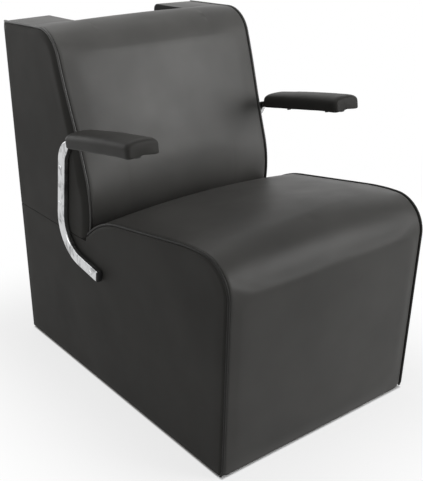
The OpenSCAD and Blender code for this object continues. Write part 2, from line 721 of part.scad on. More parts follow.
// Plug in an open end of the tube: a cap with the tube's outline and a tongue inside it
cap_t = 3;
tongue_l = 12;
tongue_gap = 0.3;
module end_cap(p, a, h) {
    inner_h = h - 2 * tube_wall - tongue_gap;
    inner_t = tube_t - 2 * tube_wall - tongue_gap;
    translate([p[0], p[1], tube_t / 2]) rotate(a) rotate([90, 0, 90]) {
        linear_extrude(cap_t) polygon(rounded_box(h, tube_t, tube_corner_r));
        translate([-inner_h / 2, -inner_t / 2, -tongue_l]) cube([inner_h, inner_t, tongue_l]);
    }
}
module arm_foot_cap(side) {
    color(plastic) on_side(side) translate([tube_x, 0, 0]) side_plane()
        end_cap(foot_start + tube_foot * dir(-foot_fall), -foot_fall, tube_h);
}
module arm_front_cap(side) {
    color(plastic) on_side(side) translate([tube_x, 0, 0]) side_plane()
        end_cap(upper_c + top_run_r * dir(pad_normal) + pad_run * dir(pad_rise), pad_rise, tube_top_h);
}

// Bolts that clamp the tube to the side panels: two in the upright run and one in the foot
arm_bolt_dia = 6;
// Holes of the bolts through the side covers
sleeve_dia = arm_bolt_dia + 2 * soft_gap;
arm_head_dia = 12;
arm_head_h = 3.5;
tnut_dia = 8;
tnut_flange_t = 2;
upper_bolt_share = 0.12;
middle_bolt_share = 0.8;
foot_bolt_share = 0.72;
arm_bolts_at = [mix(run_top, run_end, upper_bolt_share), mix(run_top, run_end, middle_bolt_share),
    foot_start + tube_foot * foot_bolt_share * dir(-foot_fall)];
// Inner faces of the panels behind the three bolts
arm_bolt_panels = [back_in_w / 2, back_in_w / 2, base_in_w / 2];
module arm_bolt_holes(dia) {
    side_plane() for (p = arm_bolts_at) translate([p[0], p[1], 0])
        cylinder(d = dia, h = tube_x + 2 * tube_t, $fn = round_fn);
}
module arm_bolts(side) {
    color(zinc) on_side(side) side_plane() for (k = [0 : len(arm_bolts_at) - 1])
        translate([arm_bolts_at[k][0], arm_bolts_at[k][1], tube_x + tube_t]) {
            rotate_extrude($fn = round_fn) polygon([[0, 0], [arm_head_dia / 2, 0],
                [arm_head_dia / 2, arm_head_h * head_rim_share],
                [arm_head_dia / 2 * head_flat_share, arm_head_h], [0, arm_head_h]]);
            translate([0, 0, arm_bolt_panels[k] - tube_x - tube_t])
                cylinder(d = arm_bolt_dia, h = tube_x + tube_t - arm_bolt_panels[k], $fn = round_fn);
        }
}
head_rim_share = 0.35;
head_flat_share = 0.6;
module arm_t_nuts(side) {
    color(zinc) on_side(side) side_plane() for (k = [0 : len(arm_bolts_at) - 1])
        translate([arm_bolts_at[k][0], arm_bolts_at[k][1], arm_bolt_panels[k] - tnut_flange_t])
            difference() {
                union() {
                    cylinder(d = 2 * tnut_dia, h = tnut_flange_t, $fn = round_fn);
                    cylinder(d = tnut_dia, h = tnut_flange_t + panel_t * tnut_share, $fn = round_fn);
                }
                translate([0, 0, -over]) cylinder(d = arm_bolt_dia, h = panel_t + 2 * over, $fn = round_fn);
            }
}
// Part of the panel's thickness that the barrel of a nut fills
tnut_share = 0.6;

// Arm pads, drawn in a frame whose x runs along the tube, y is square to it and z is across
module pad_frame() {
    translate([tube_x + tube_t / 2 - pad_inboard, 0, 0]) side_plane()
        translate(pad_run_start + tube_h / 2 * dir(pad_normal)) rotate(pad_rise)
        translate([pad_start, 0, 0]) children();
}
pad_inboard = 3;
skirt_h = 8;
core_edge = 12;
core_l = pad_l - 2 * core_edge;
module pad_core(side) {
    color(ply) on_side(side) pad_frame() difference() {
        translate([core_edge, 0, -core_w / 2]) cube([core_l, core_t, core_w]);
        at_pad_screws() cylinder(d = screw_dia, h = screw_bite, $fn = round_fn);
    }
}

// Screws come up through the tube into the core
screw_dia = 5;
screw_head_dia = 10;
screw_head_h = 3;
screw_bite = 9;
screw_shares = [0.2, 0.72];
module at_pad_screws() {
    for (s = screw_shares) translate([pad_l * s, 0, pad_inboard]) rotate([-90, 0, 0]) children();
}
module pad_screw_holes() {
    pad_frame() at_pad_screws() translate([0, 0, -tube_top_h - over])
        cylinder(d = screw_dia, h = tube_top_h + 2 * over, $fn = round_fn);
}
module pad_screws(side) {
    color(zinc) on_side(side) pad_frame() at_pad_screws() {
        translate([0, 0, -tube_top_h - screw_head_h]) cylinder(d = screw_head_dia, h = screw_head_h,
            $fn = round_fn);
        translate([0, 0, -tube_top_h]) cylinder(d = screw_dia, h = tube_top_h + screw_bite,
            $fn = round_fn);
    }
}

// The pad is a row of rounded sections that shrink towards its blunt ends
pad_end_r = 16;
pad_steps = 5;
pad_round = 28;
pad_bow = 3;
end_power = 2.6;
// The top of a section is round and its lower edges are sharp, about a level line at this
// share of its height
pad_level_share = 0.36;
top_power = 3;
edge_power = 9;
function pad_scale(u) = let (e = min(u, pad_l - u, pad_end_r) / pad_end_r)
    pow(1 - pow(1 - e, end_power), 1 / end_power);
function power_arc(a, n) = [sign(cos(a)) * pow(abs(cos(a)), 2 / n),
    sign(sin(a)) * pow(abs(sin(a)), 2 / n)];
function pad_loop(u) = let (k = pad_scale(u), low = pad_h * pad_level_share,
        top = pad_h - pad_bow * (1 - sin(180 * u / pad_l)) - low)
    [for (i = [0 : pad_round - 1]) let (a = 360 * i / pad_round,
            q = power_arc(a, sin(a) < 0 ? edge_power : top_power))
        [u, -skirt_h + low + q[1] * (q[1] < 0 ? low * mix(pad_low_share, 1, k) :
            top * mix(pad_top_share, 1, k)), pad_w / 2 * mix(pad_side_share, 1, k) * q[0]]];
// Size of a pad's end face beside its full section: above the level line, below it and across
pad_top_share = 0.5;
pad_low_share = 0.85;
pad_side_share = 0.8;
module arm_pad(side) {
    ends = [for (i = [0 : pad_steps]) pad_end_r * (1 - cos(90 * i / pad_steps))];
    middle = [for (i = [1 : pad_steps - 1]) mix(pad_end_r, pad_l - pad_end_r, i / pad_steps)];
    us = concat(ends, middle, [for (i = [pad_steps : -1 : 0]) pad_l - ends[i]]);
    color(vinyl) on_side(side) difference() {
        pad_frame() loft([for (u = us) pad_loop(u)]);
        pad_frame() translate([core_edge - soft_gap, -skirt_h - over, -core_w / 2 - soft_gap])
            cube([core_l + 2 * soft_gap, skirt_h + core_t + soft_gap + over, core_w + 2 * soft_gap]);
        pad_frame() translate([-over, -skirt_h - over, pad_inboard - tube_t / 2 - soft_gap])
            cube([pad_l + 2 * over, skirt_h + soft_gap + over, tube_t + 2 * soft_gap]);
    }
}

glides();
corner_blocks();
dust_cover();
base_panel(LEFT);  // base_panel_left
base_panel(RIGHT);  // base_panel_right
front_board();
rear_board();
bottom_rail(1);  // bottom_rail_front
bottom_rail(0);  // bottom_rail_rear
seam_rail(1);  // seam_rail_front
seam_rail(0);  // seam_rail_rear
deck_cleats();
deck_rail(cleat_front_v - rail_w);  // deck_rail_front
deck_rail(deck_rear_v);  // deck_rail_rear
seat_deck();
seat_foam();
seat_cover();
seat_welt(LEFT);  // seat_welt_left
seat_welt(RIGHT);  // seat_welt_right
base_side_cover(LEFT);  // base_side_cover_left
base_side_cover(RIGHT);  // base_side_cover_right
base_rear_cover();
back_panel(LEFT);  // back_panel_left
back_panel(RIGHT);  // back_panel_right
pillar_panel(LEFT);  // pillar_panel_left
pillar_panel(RIGHT);  // pillar_panel_right
back_board();
back_top_rail();
notch_shelf();
back_bolts();
dryer_board();
dryer_t_nuts();
notch_lining();
back_cover();
wing_top(LEFT);  // wing_top_left
wing_top(RIGHT);  // wing_top_right
back_welt(LEFT);  // back_welt_left
back_welt(RIGHT);  // back_welt_right
back_side_cover(LEFT);  // back_side_cover_left
back_side_cover(RIGHT);  // back_side_cover_right
wing_rear_cover(LEFT);  // wing_rear_cover_left
wing_rear_cover(RIGHT);  // wing_rear_cover_right
arm_tube(LEFT);  // arm_tube_left
arm_tube(RIGHT);  // arm_tube_right
arm_foot_cap(LEFT);  // arm_foot_cap_left
arm_foot_cap(RIGHT);  // arm_foot_cap_right
arm_front_cap(LEFT);  // arm_front_cap_left
arm_front_cap(RIGHT);  // arm_front_cap_right
arm_bolts(LEFT);  // arm_bolts_left
arm_bolts(RIGHT);  // arm_bolts_right
arm_t_nuts(LEFT);  // arm_t_nuts_left
arm_t_nuts(RIGHT);  // arm_t_nuts_right
pad_core(LEFT);  // pad_core_left
pad_core(RIGHT);  // pad_core_right
pad_screws(LEFT);  // pad_screws_left
pad_screws(RIGHT);  // pad_screws_right
arm_pad(LEFT);  // arm_pad_left
arm_pad(RIGHT);  // arm_pad_right
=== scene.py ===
import json
import math
import bpy
import bmesh
import numpy as np
from mathutils import Matrix, Vector, noise


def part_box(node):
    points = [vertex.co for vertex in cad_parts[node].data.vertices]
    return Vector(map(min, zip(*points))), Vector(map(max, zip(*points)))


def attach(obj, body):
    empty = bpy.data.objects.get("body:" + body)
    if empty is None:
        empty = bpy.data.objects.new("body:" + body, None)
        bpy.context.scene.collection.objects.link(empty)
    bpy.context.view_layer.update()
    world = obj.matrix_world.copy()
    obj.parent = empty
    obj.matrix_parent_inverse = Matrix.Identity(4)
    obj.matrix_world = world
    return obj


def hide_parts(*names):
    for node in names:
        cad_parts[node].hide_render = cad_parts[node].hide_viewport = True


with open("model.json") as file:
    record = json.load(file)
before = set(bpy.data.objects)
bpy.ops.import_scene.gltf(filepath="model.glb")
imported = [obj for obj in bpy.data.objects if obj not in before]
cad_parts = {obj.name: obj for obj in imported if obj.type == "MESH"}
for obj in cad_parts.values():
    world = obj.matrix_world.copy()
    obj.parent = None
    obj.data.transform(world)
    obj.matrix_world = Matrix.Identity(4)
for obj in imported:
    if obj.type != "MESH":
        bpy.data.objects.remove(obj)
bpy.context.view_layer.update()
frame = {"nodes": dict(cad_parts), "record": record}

MM = 0.001
QUARTER = math.pi / 2

# Sizes of the chair, in metres. A side outline is (v, z): v is the distance in front of the rear plane.
BODY_W = 580 * MM
BODY_D = 890 * MM
GLIDE_H = 5 * MM
SEAM_H = 380 * MM
SEAT_H = 508 * MM
SEAT_ROLL_R = 80 * MM
FRONT_LEAN = math.radians(2.7)
SEAT_SLOPE = math.radians(8.8)
SHOULDER_R = 600 * MM
TUCK_V = 484 * MM
TUCK_R = 260 * MM
SEAT_CROWN = 14 * MM
FRONT_CROWN = 6 * MM
SEAT_PAD = 24 * MM
BACK_H = 866 * MM
BACK_FOOT_V = 393 * MM
FOOT_ROLL_R = 275 * MM
FOOT_ROLL_H = 165 * MM
BACK_LEAN = math.radians(17.2)
BACK_ROLL_R = 82 * MM
TOP_SLOPE = math.radians(1.6)
BACK_CROWN = 13 * MM
BACK_PAD = 26 * MM
NOTCH_W = 324 * MM
NOTCH_ROLL = 6 * MM
CREST_L = 42 * MM
BASE_SIDE_T = 5 * MM
BACK_SIDE_T = 13 * MM
REAR_T = 3 * MM
WELT_R = 3 * MM
WELT_SINK = 1.2 * MM
SOFT_GAP = 0.3 * MM
SEAM_GAP = 0.5 * MM
HALF_W = BODY_W / 2
SEAT_HALF = HALF_W - BASE_SIDE_T
WING_IN = NOTCH_W / 2
BACK_HALF = HALF_W - BACK_SIDE_T
WELT_BED = WELT_R + WELT_SINK + SOFT_GAP
WELT_STEP = WELT_R + SOFT_GAP


# Side outlines

def mix(a, b, f):
    return a + (b - a) * f


def ease(f):
    f = min(max(f, 0.0), 1.0)
    return f * f * (3 - 2 * f)


def turn(a):
    """Unit vector at an angle above the forward direction."""
    return np.array([math.cos(a), math.sin(a)])


def place(x, p):
    """A point of a side outline, in the room."""
    return (x, BODY_D / 2 - p[0], p[1])


ROLL_C = np.array([BODY_D - FRONT_CROWN - SEAT_ROLL_R, SEAT_H - SEAT_ROLL_R])
SHOULDER_C = ROLL_C + (SEAT_ROLL_R - SHOULDER_R) * turn(QUARTER)
FLAT_START = SHOULDER_C + SHOULDER_R * turn(QUARTER + SEAT_SLOPE)
TUCK_START = np.array([TUCK_V, FLAT_START[1] - (FLAT_START[0] - TUCK_V) * math.tan(SEAT_SLOPE)])
TUCK_C = TUCK_START - TUCK_R * turn(QUARTER + SEAT_SLOPE)
FOOT_C = (np.array([BACK_FOOT_V - FOOT_ROLL_H * math.tan(BACK_LEAN), SEAM_H + FOOT_ROLL_H])
          - FOOT_ROLL_R * turn(BACK_LEAN))
TUCK_PART = 4


def seat_point(part, f, d, gap=SOFT_GAP):
    """Front panel, roll, shoulder, flat and tuck of the seat, at a depth d under its surface."""
    if part == 0:
        first = ROLL_C + (SEAT_ROLL_R - d) * turn(-FRONT_LEAN)
        foot = np.array([first[0] - (first[1] - GLIDE_H) * math.tan(FRONT_LEAN), GLIDE_H])
        return mix(foot, first, f)
    if part == 1:
        return ROLL_C + (SEAT_ROLL_R - d) * turn(mix(-FRONT_LEAN, QUARTER, f))
    if part == 2:
        return SHOULDER_C + (SHOULDER_R - d) * turn(QUARTER + SEAT_SLOPE * f)
    up = turn(QUARTER + SEAT_SLOPE)
    if part == 3:
        return mix(SHOULDER_C + (SHOULDER_R - d) * up, TUCK_C + (TUCK_R - d) * up, f)
    r = TUCK_R - min(d, 0.0)
    q = FOOT_C - TUCK_C
    length = float(np.linalg.norm(q))
    meeting = (r * r + length * length - (FOOT_ROLL_R + gap) ** 2) / (2 * r * length)
    end = math.atan2(q[1], q[0]) - math.acos(meeting)
    return TUCK_C + (TUCK_R - d) * turn(mix(QUARTER + SEAT_SLOPE, end, f))


BACK_C = np.array([0.0, BACK_H - BACK_ROLL_R])
BACK_C[0] = (BACK_FOOT_V - BACK_ROLL_R * math.cos(BACK_LEAN)
             - (BACK_C[1] + BACK_ROLL_R * math.sin(BACK_LEAN) - SEAM_H) * math.tan(BACK_LEAN))
NOTCH_D = float(BACK_C[0]) - CREST_L


def back_foot(d, z, f=0.0):
    """Point on the curve that draws in the foot of the back."""
    r = FOOT_ROLL_R - d
    return FOOT_C + r * turn(mix(math.asin((z - FOOT_C[1]) / r), BACK_LEAN, f))


def back_top(d, v):
    p = BACK_C + (BACK_ROLL_R - d) * turn(QUARTER + TOP_SLOPE)
    return np.array([v, p[1] - (p[0] - v) * math.tan(TOP_SLOPE)])


def back_point(part, f, d, z=SEAM_H + SEAM_GAP, v=0.0):
    """Foot, front, roll and top of the back, from the height z to the distance v."""
    if part == 0:
        return back_foot(d, z, f)
    if part == 1:
        return mix(back_foot(d, z, 1.0), BACK_C + (BACK_ROLL_R - d) * turn(BACK_LEAN), f)
    if part == 2:
        return BACK_C + (BACK_ROLL_R - d) * turn(mix(BACK_LEAN, QUARTER + TOP_SLOPE, f))
    return mix(BACK_C + (BACK_ROLL_R - d) * turn(QUARTER + TOP_SLOPE), back_top(d, v), f)


def stations(counts):
    """The parts of an outline cut into steps: the number of the part, and the share of it passed."""
    return [(k, i / n) for k, n in enumerate(counts) for i in range(0 if k == 0 else 1, n + 1)]


def path_lengths(points):
    """Length of a path up to each of its points."""
    lengths = [0.0]
    for a, b in zip(points, points[1:]):
        lengths.append(lengths[-1] + float(np.linalg.norm(b - a)))
    return lengths


# Meshes

def solid_object(name, verts, faces):
    """Object whose faces all point outwards."""
    mesh = bpy.data.meshes.new(name)
    mesh.from_pydata([tuple(v) for v in verts], [], faces)
    mesh.validate()
    bm = bmesh.new()
    bm.from_mesh(mesh)
    bmesh.ops.remove_doubles(bm, verts=bm.verts, dist=1e-6)
    bmesh.ops.recalc_face_normals(bm, faces=bm.faces)
    bm.to_mesh(mesh)
    bm.free()
    obj = bpy.data.objects.new(name, mesh)
    bpy.context.scene.collection.objects.link(obj)
    return obj


def shade(mesh, sharp):
    """Smooth shading, apart from edges that turn by more than an angle in degrees."""
    mesh.shade_smooth()
    mesh.set_sharp_from_angle(angle=math.radians(sharp))


def piece(name, verts, faces, material, stands_for=(), sharp=35):
    """A visible piece of the chair, which hides the solids that it stands for."""
    obj = solid_object(name, verts, faces)
    shade(obj.data, sharp)
    obj.data.materials.append(material)
    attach(obj, "root")
    if stands_for:
        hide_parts(*stands_for)
    return obj


def grid_solid(top, under, keep=None):
    """Closed solid between two grids of points. keep says which cells of the grid are filled."""
    ni, nj = len(top), len(top[0])
    if keep is None:
        keep = np.ones((ni - 1, nj - 1), bool)
    verts = [p for row in top for p in row] + [p for row in under for p in row]
    low = ni * nj
    faces = []

    def at(i, j):
        return i * nj + j

    def filled(i, j):
        return 0 <= i < ni - 1 and 0 <= j < nj - 1 and keep[i][j]

    for i in range(ni - 1):
        for j in range(nj - 1):
            if not keep[i][j]:
                continue
            c = [at(i, j), at(i, j + 1), at(i + 1, j + 1), at(i + 1, j)]
            faces.append(c)
            faces.append([low + k for k in reversed(c)])
            edges = [((i - 1, j), (c[0], c[1])), ((i, j + 1), (c[1], c[2])),
                     ((i + 1, j), (c[2], c[3])), ((i, j - 1), (c[3], c[0]))]
            for beyond, (a, b) in edges:
                if not filled(*beyond):
                    faces.append([b, a, low + a, low + b])
    used = sorted({k for f in faces for k in f})
    number = {k: n for n, k in enumerate(used)}
    return [verts[k] for k in used], [[number[k] for k in f] for f in faces]


def loops_solid(loops):
    """Closed solid through rings of points, with flat ends."""
    n = len(loops[0])
    verts = [p for loop in loops for p in loop]
    faces = [[i * n + j, i * n + (j + 1) % n, (i + 1) * n + (j + 1) % n, (i + 1) * n + j]
             for i in range(len(loops) - 1) for j in range(n)]
    faces.append(list(range(n - 1, -1, -1)))
    faces.append([(len(loops) - 1) * n + j for j in range(n)])
    return verts, faces


def rounding(distance, radius):
    """Depth of a rounded edge at a distance inside it."""
    e = 1 - min(max(distance / radius, 0.0), 1.0)
    return radius * (1 - math.sqrt(max(0.0, 1 - e * e)))


def ripple(a, b, c=0.0):
    """Smooth noise between about -1 and 1."""
    return noise.noise(Vector((a, b, c)))


def cross_stations(half, edge, n_edge, n_mid):
    """Places across a cushion, closer together at its edges."""
    ends = [half - edge * (1 - math.cos(QUARTER * i / n_edge)) for i in range(n_edge + 1)]
    mid = [mix(half - edge, -(half - edge), i / n_mid) for i in range(1, n_mid)]
    return np.array(ends + mid + [-x for x in reversed(ends)])


# Materials

def toned(colour, f):
    return tuple(c * f for c in colour)


def new_material(name):
    m = bpy.data.materials.new(name)
    m.use_nodes = True
    nodes = m.node_tree.nodes
    return m, nodes, m.node_tree.links, nodes["Principled BSDF"]


def colour_by(nodes, links, source, low, high, a=0.0, b=1.0):
    ramp = nodes.new("ShaderNodeValToRGB")
    ramp.color_ramp.elements[0].position = a
    ramp.color_ramp.elements[1].position = b
    ramp.color_ramp.elements[0].color = (*low, 1)
    ramp.color_ramp.elements[1].color = (*high, 1)
    links.new(source, ramp.inputs[0])
    return ramp.outputs[0]


def number_by(nodes, links, source, low, high, reach=1.0, kind="LINEAR"):
    """A number that goes from low to high while the source goes from 0 to reach."""
    span = nodes.new("ShaderNodeMapRange")
    span.interpolation_type = kind
    span.inputs[2].default_value = reach
    span.inputs[3].default_value = low
    span.inputs[4].default_value = high
    links.new(source, span.inputs[0])
    return span.outputs[0]


def noise_at(nodes, links, scale, detail=2.0, distortion=0.0, stretch=(1, 1, 1)):
    coords = nodes.new("ShaderNodeTexCoord")
    drawn = nodes.new("ShaderNodeMapping")
    drawn.inputs["Scale"].default_value = stretch
    n = nodes.new("ShaderNodeTexNoise")
    n.inputs["Scale"].default_value = scale
    n.inputs["Detail"].default_value = detail
    n.inputs["Distortion"].default_value = distortion
    links.new(coords.outputs["Object"], drawn.inputs["Vector"])
    links.new(drawn.outputs[0], n.inputs["Vector"])
    return n.outputs[0]


def cells_at(nodes, links, scale):
    coords = nodes.new("ShaderNodeTexCoord")
    n = nodes.new("ShaderNodeTexVoronoi")
    n.inputs["Scale"].default_value = scale
    links.new(coords.outputs["Object"], n.inputs["Vector"])
    return n.outputs[0]


def bump(nodes, links, height, strength, distance, under=None):
    b = nodes.new("ShaderNodeBump")
    b.inputs["Strength"].default_value = strength
    b.inputs["Distance"].default_value = distance
    links.new(height, b.inputs["Height"])
    if under is not None:
        links.new(under, b.inputs["Normal"])
    return b.outputs[0]


def vinyl(name, colour, rough, gloss, clouds=0.14):
    """Upholstery vinyl: a pebbled grain, faint clouding and slow waves of the foam beneath."""
    m, nodes, links, shader = new_material(name)
    cloud = noise_at(nodes, links, scale=6.0, detail=3.0)
    shown = colour_by(nodes, links, cloud, toned(colour, 1 - clouds), toned(colour, 1 + clouds), 0.3, 0.7)
    links.new(shown, shader.inputs["Base Color"])
    smudge = noise_at(nodes, links, scale=14.0, detail=4.0)
    links.new(number_by(nodes, links, smudge, rough - 0.06, rough + 0.07), shader.inputs["Roughness"])
    grain = bump(nodes, links, cells_at(nodes, links, scale=900.0), strength=0.12, distance=0.0002)
    foam = noise_at(nodes, links, scale=9.0, detail=1.5)
    wave = bump(nodes, links, foam, strength=0.25, distance=0.004, under=grain)
    links.new(wave, shader.inputs["Normal"])
    shader.inputs["Specular IOR Level"].default_value = gloss
    return m


def metal(name, colour, rough, scratch, smudge=0.9, stretch=(1, 1, 1)):
    """Bare or plated metal with a haze of wiping marks; a deep haze, as on the chrome, also stands for
    painted dark reflections.
    """
    m, nodes, links, shader = new_material(name)
    shader.inputs["Metallic"].default_value = 1.0
    haze = noise_at(nodes, links, scale=34.0, detail=4.0, distortion=0.6, stretch=stretch)
    shown = colour_by(nodes, links, haze, toned(colour, smudge), colour, 0.36, 0.52)
    links.new(shown, shader.inputs["Base Color"])
    links.new(number_by(nodes, links, haze, rough, rough + scratch), shader.inputs["Roughness"])
    dents = noise_at(nodes, links, scale=35.0, detail=1.0)
    links.new(bump(nodes, links, dents, strength=0.05, distance=0.0004), shader.inputs["Normal"])
    return m


def plain(name, colour, rough, grain_scale, strength=0.15):
    """A dull material with a fine grain."""
    m, nodes, links, shader = new_material(name)
    speck = noise_at(nodes, links, grain_scale, detail=3.0)
    shown = colour_by(nodes, links, speck, toned(colour, 0.85), colour, 0.3, 0.7)
    links.new(shown, shader.inputs["Base Color"])
    links.new(number_by(nodes, links, speck, rough - 0.05, rough + 0.05), shader.inputs["Roughness"])
    links.new(bump(nodes, links, speck, strength, distance=0.0003), shader.inputs["Normal"])
    return m


def wood(name, colour):
    """Wood with its grain along the width of the chair."""
    m, nodes, links, shader = new_material(name)
    rings = noise_at(nodes, links, scale=4.0, detail=6.0, stretch=(4, 40, 40))
    shown = colour_by(nodes, links, rings, toned(colour, 0.6), colour, 0.35, 0.65)
    links.new(shown, shader.inputs["Base Color"])
    links.new(bump(nodes, links, rings, strength=0.2, distance=0.0004), shader.inputs["Normal"])
    shader.inputs["Roughness"].default_value = 0.75
    return m


CHARCOAL = (0.038, 0.037, 0.0345)
VINYL = vinyl("charcoal_vinyl", CHARCOAL, 0.42, gloss=0.2)
# Lighter copy of the charcoal vinyl: painted light on the back, and stronger clouding as painted soft
# highlights.
VINYL_PAINTED_LIGHT_BACK = vinyl("charcoal_vinyl_back_painted_light", toned(CHARCOAL, 1.35), 0.47, gloss=0.4, clouds=0.24)
# Darker copy of the charcoal vinyl: painted shade on the side covers, the tongues and the rear covers.
VINYL_PAINTED_SHADE_SIDES = vinyl("charcoal_vinyl_sides_painted_shade", toned(CHARCOAL, 0.95), 0.6, gloss=0.08)
# Darker copy of the charcoal vinyl: painted shade on the armrests.
VINYL_PAINTED_SHADE_PADS = vinyl("charcoal_vinyl_pads_painted_shade", toned(CHARCOAL, 0.78), 0.44, gloss=0.1)
# Darker copy of the charcoal vinyl: painted shade along the seat's piping.
WELT_PAINTED_SHADE = vinyl("welt_vinyl_painted_shade", toned(CHARCOAL, 0.45), 0.45, gloss=0.15)
# Lighter copy of the charcoal vinyl: painted highlight along the back's piping.
BACK_WELT_PAINTED_HIGHLIGHT = vinyl("back_welt_vinyl_painted_highlight", toned(CHARCOAL, 0.8), 0.32, gloss=0.4)
# Near-black copy of the charcoal vinyl: painted shade in the notch between the wings.
NOTCH_PAINTED_SHADE = vinyl("notch_vinyl_painted_shade", toned(CHARCOAL, 0.22), 0.6, gloss=0.08)
# The chrome's haze darkens it to half in patches: partly wiping marks, partly painted dark reflections.
CHROME = metal("chrome", (0.58, 0.585, 0.59), 0.05, scratch=0.08, smudge=0.5, stretch=(1.0, 1.6, 0.8))
ZINC = metal("zinc_steel", (0.62, 0.62, 0.6), 0.28, scratch=0.1)
# Near-black steel: painted shade on the screws under the armrests.
SCREW_PAINTED_SHADE = metal("screw_steel_painted_shade", (0.012, 0.012, 0.012), 0.6, scratch=0.1)
PLASTIC = plain("black_plastic", (0.018, 0.018, 0.018), 0.45, grain_scale=400.0)
CAMBRIC = plain("black_cambric", (0.02, 0.02, 0.02), 0.9, grain_scale=1200.0, strength=0.4)
PLY = wood("plywood", (0.62, 0.47, 0.3))
TIMBER = wood("timber", (0.55, 0.4, 0.24))
EBONISED = wood("blackened_plywood", (0.03, 0.029, 0.028))
FOAM = plain("foam", (0.8, 0.74, 0.5), 0.95, grain_scale=700.0, strength=0.5)
BY_SLOT = {"vinyl": VINYL, "vinyl_side": VINYL_PAINTED_SHADE_SIDES, "piping": WELT_PAINTED_SHADE, "ply": PLY, "timber": TIMBER,
           "foam": FOAM, "chrome": CHROME, "zinc": ZINC, "plastic": PLASTIC, "cambric": CAMBRIC}
# Painted shade for the pad screws and the notch lining, and a black finish on the notch shelf's plywood.
PAINTED_SHADE_AND_BLACK_FINISH = {"pad_screws_left": SCREW_PAINTED_SHADE, "pad_screws_right": SCREW_PAINTED_SHADE, "notch_shelf": EBONISED,
            "notch_lining": NOTCH_PAINTED_SHADE}


def finish_solids():
    """Each solid gets the finish of its slot; the pad screws and the notch lining get a near-black one as
    painted shade, and the notch shelf a black finish.
    """
    for subpart in frame["record"]["subparts"]:
        finish = PAINTED_SHADE_AND_BLACK_FINISH.get(subpart["node"], BY_SLOT[subpart["material_slot"]])
        materials = frame["nodes"][subpart["node"]].data.materials
        materials.clear()
        materials.append(finish)


# Cushions

CLOTH_FRAMES = 20
CLOTH_PRESSURE = 4.0
CLOTH_STIFFNESS = 18.0
CLOTH_BENDING = 2.0
# The furthest that the foam lets a point of the cover move
CLOTH_CAP = 2.5 * MM
HELD_EDGE = 8 * MM
EDGE_ROLL = 7 * MM
EDGE_DEPTH = 0.55
PUCKER_REACH = 22 * MM
PUCKER_PITCH = 16 * MM
PUCKER_DEPTH = 0.5 * MM
LONG_WAVE = (0.17, 0.2)
SHORT_WAVE = (0.07, 0.09)


def settle(obj, pinned):
    """Blows the vinyl out over its foam as cloth, with some points held, and keeps the result."""
    start = np.array([v.co for v in obj.data.vertices])
    group = obj.vertex_groups.new(name="held")
    group.add([int(i) for i in pinned], 1.0, "REPLACE")
    cloth = obj.modifiers.new("cloth", "CLOTH").settings
    cloth.use_pressure = True
    cloth.uniform_pressure_force = CLOTH_PRESSURE
    cloth.effector_weights.gravity = 0.0
    cloth.vertex_group_mass = "held"
    cloth.tension_stiffness = CLOTH_STIFFNESS
    cloth.compression_stiffness = CLOTH_STIFFNESS
    cloth.bending_stiffness = CLOTH_BENDING
    cloth.quality = 4
    scene = bpy.context.scene
    for f in range(1, CLOTH_FRAMES + 1):
        scene.frame_set(f)
    shown = obj.evaluated_get(bpy.context.evaluated_depsgraph_get())
    end = np.array([v.co for v in shown.data.vertices])
    move = end - start
    length = np.linalg.norm(move, axis=1, keepdims=True)
    move *= np.minimum(1.0, CLOTH_CAP / np.maximum(length, 1e-9))
    obj.modifiers.clear()
    obj.vertex_groups.clear()
    obj.data.vertices.foreach_set("co", (start + move).ravel())
    obj.data.update()
    scene.frame_set(1)


def edge_dip(x, half):
    """The cover rolls into its seam at the piping."""
    return rounding(half - WELT_STEP - abs(x), EDGE_ROLL) * EDGE_DEPTH


def pucker(along, x, half):
    """Small gathers that the stitching draws in beside the piping."""
    near = math.exp(-(half - abs(x)) / PUCKER_REACH)
    return PUCKER_DEPTH * near * ripple(along / PUCKER_PITCH, 3 * x / half, 1.7)


def slow_wave(a, b, size):
    """Long waves of the foam, and shorter ones half as high."""
    long_part = ripple(a / LONG_WAVE[0], b / LONG_WAVE[1], 4.2)
    short_part = ripple(a / SHORT_WAVE[0], b / SHORT_WAVE[1], 9.1)
    return size * (long_part + 0.5 * short_part)


def foot_pull(z):
    """How far the seat's corners turn back at the foot of the base."""
    return 0.5 * rounding(z - GLIDE_H, 8 * MM)


# Seat

SEAT_ROWS = stations([34, 20, 12, 26, 26])
SEAT_EDGE_BAND = 30 * MM
SEAT_WAVE = 0.7 * MM
SEAT_HEM = 1.2 * MM
SEAT_HELD_FOOT = 12 * MM
CORNER_REACH = 16 * MM
CORNER_NARROWING = 0.4


def seat_swell(part, f):
    if part == 0:
        return FRONT_CROWN * mix(0.15, 1.0, ease(f))
    if part == 1:
        return mix(FRONT_CROWN, SEAT_CROWN, ease(f))
    if part < TUCK_PART:
        return SEAT_CROWN
    return mix(SEAT_CROWN, SEAT_CROWN * 0.75, ease(f))


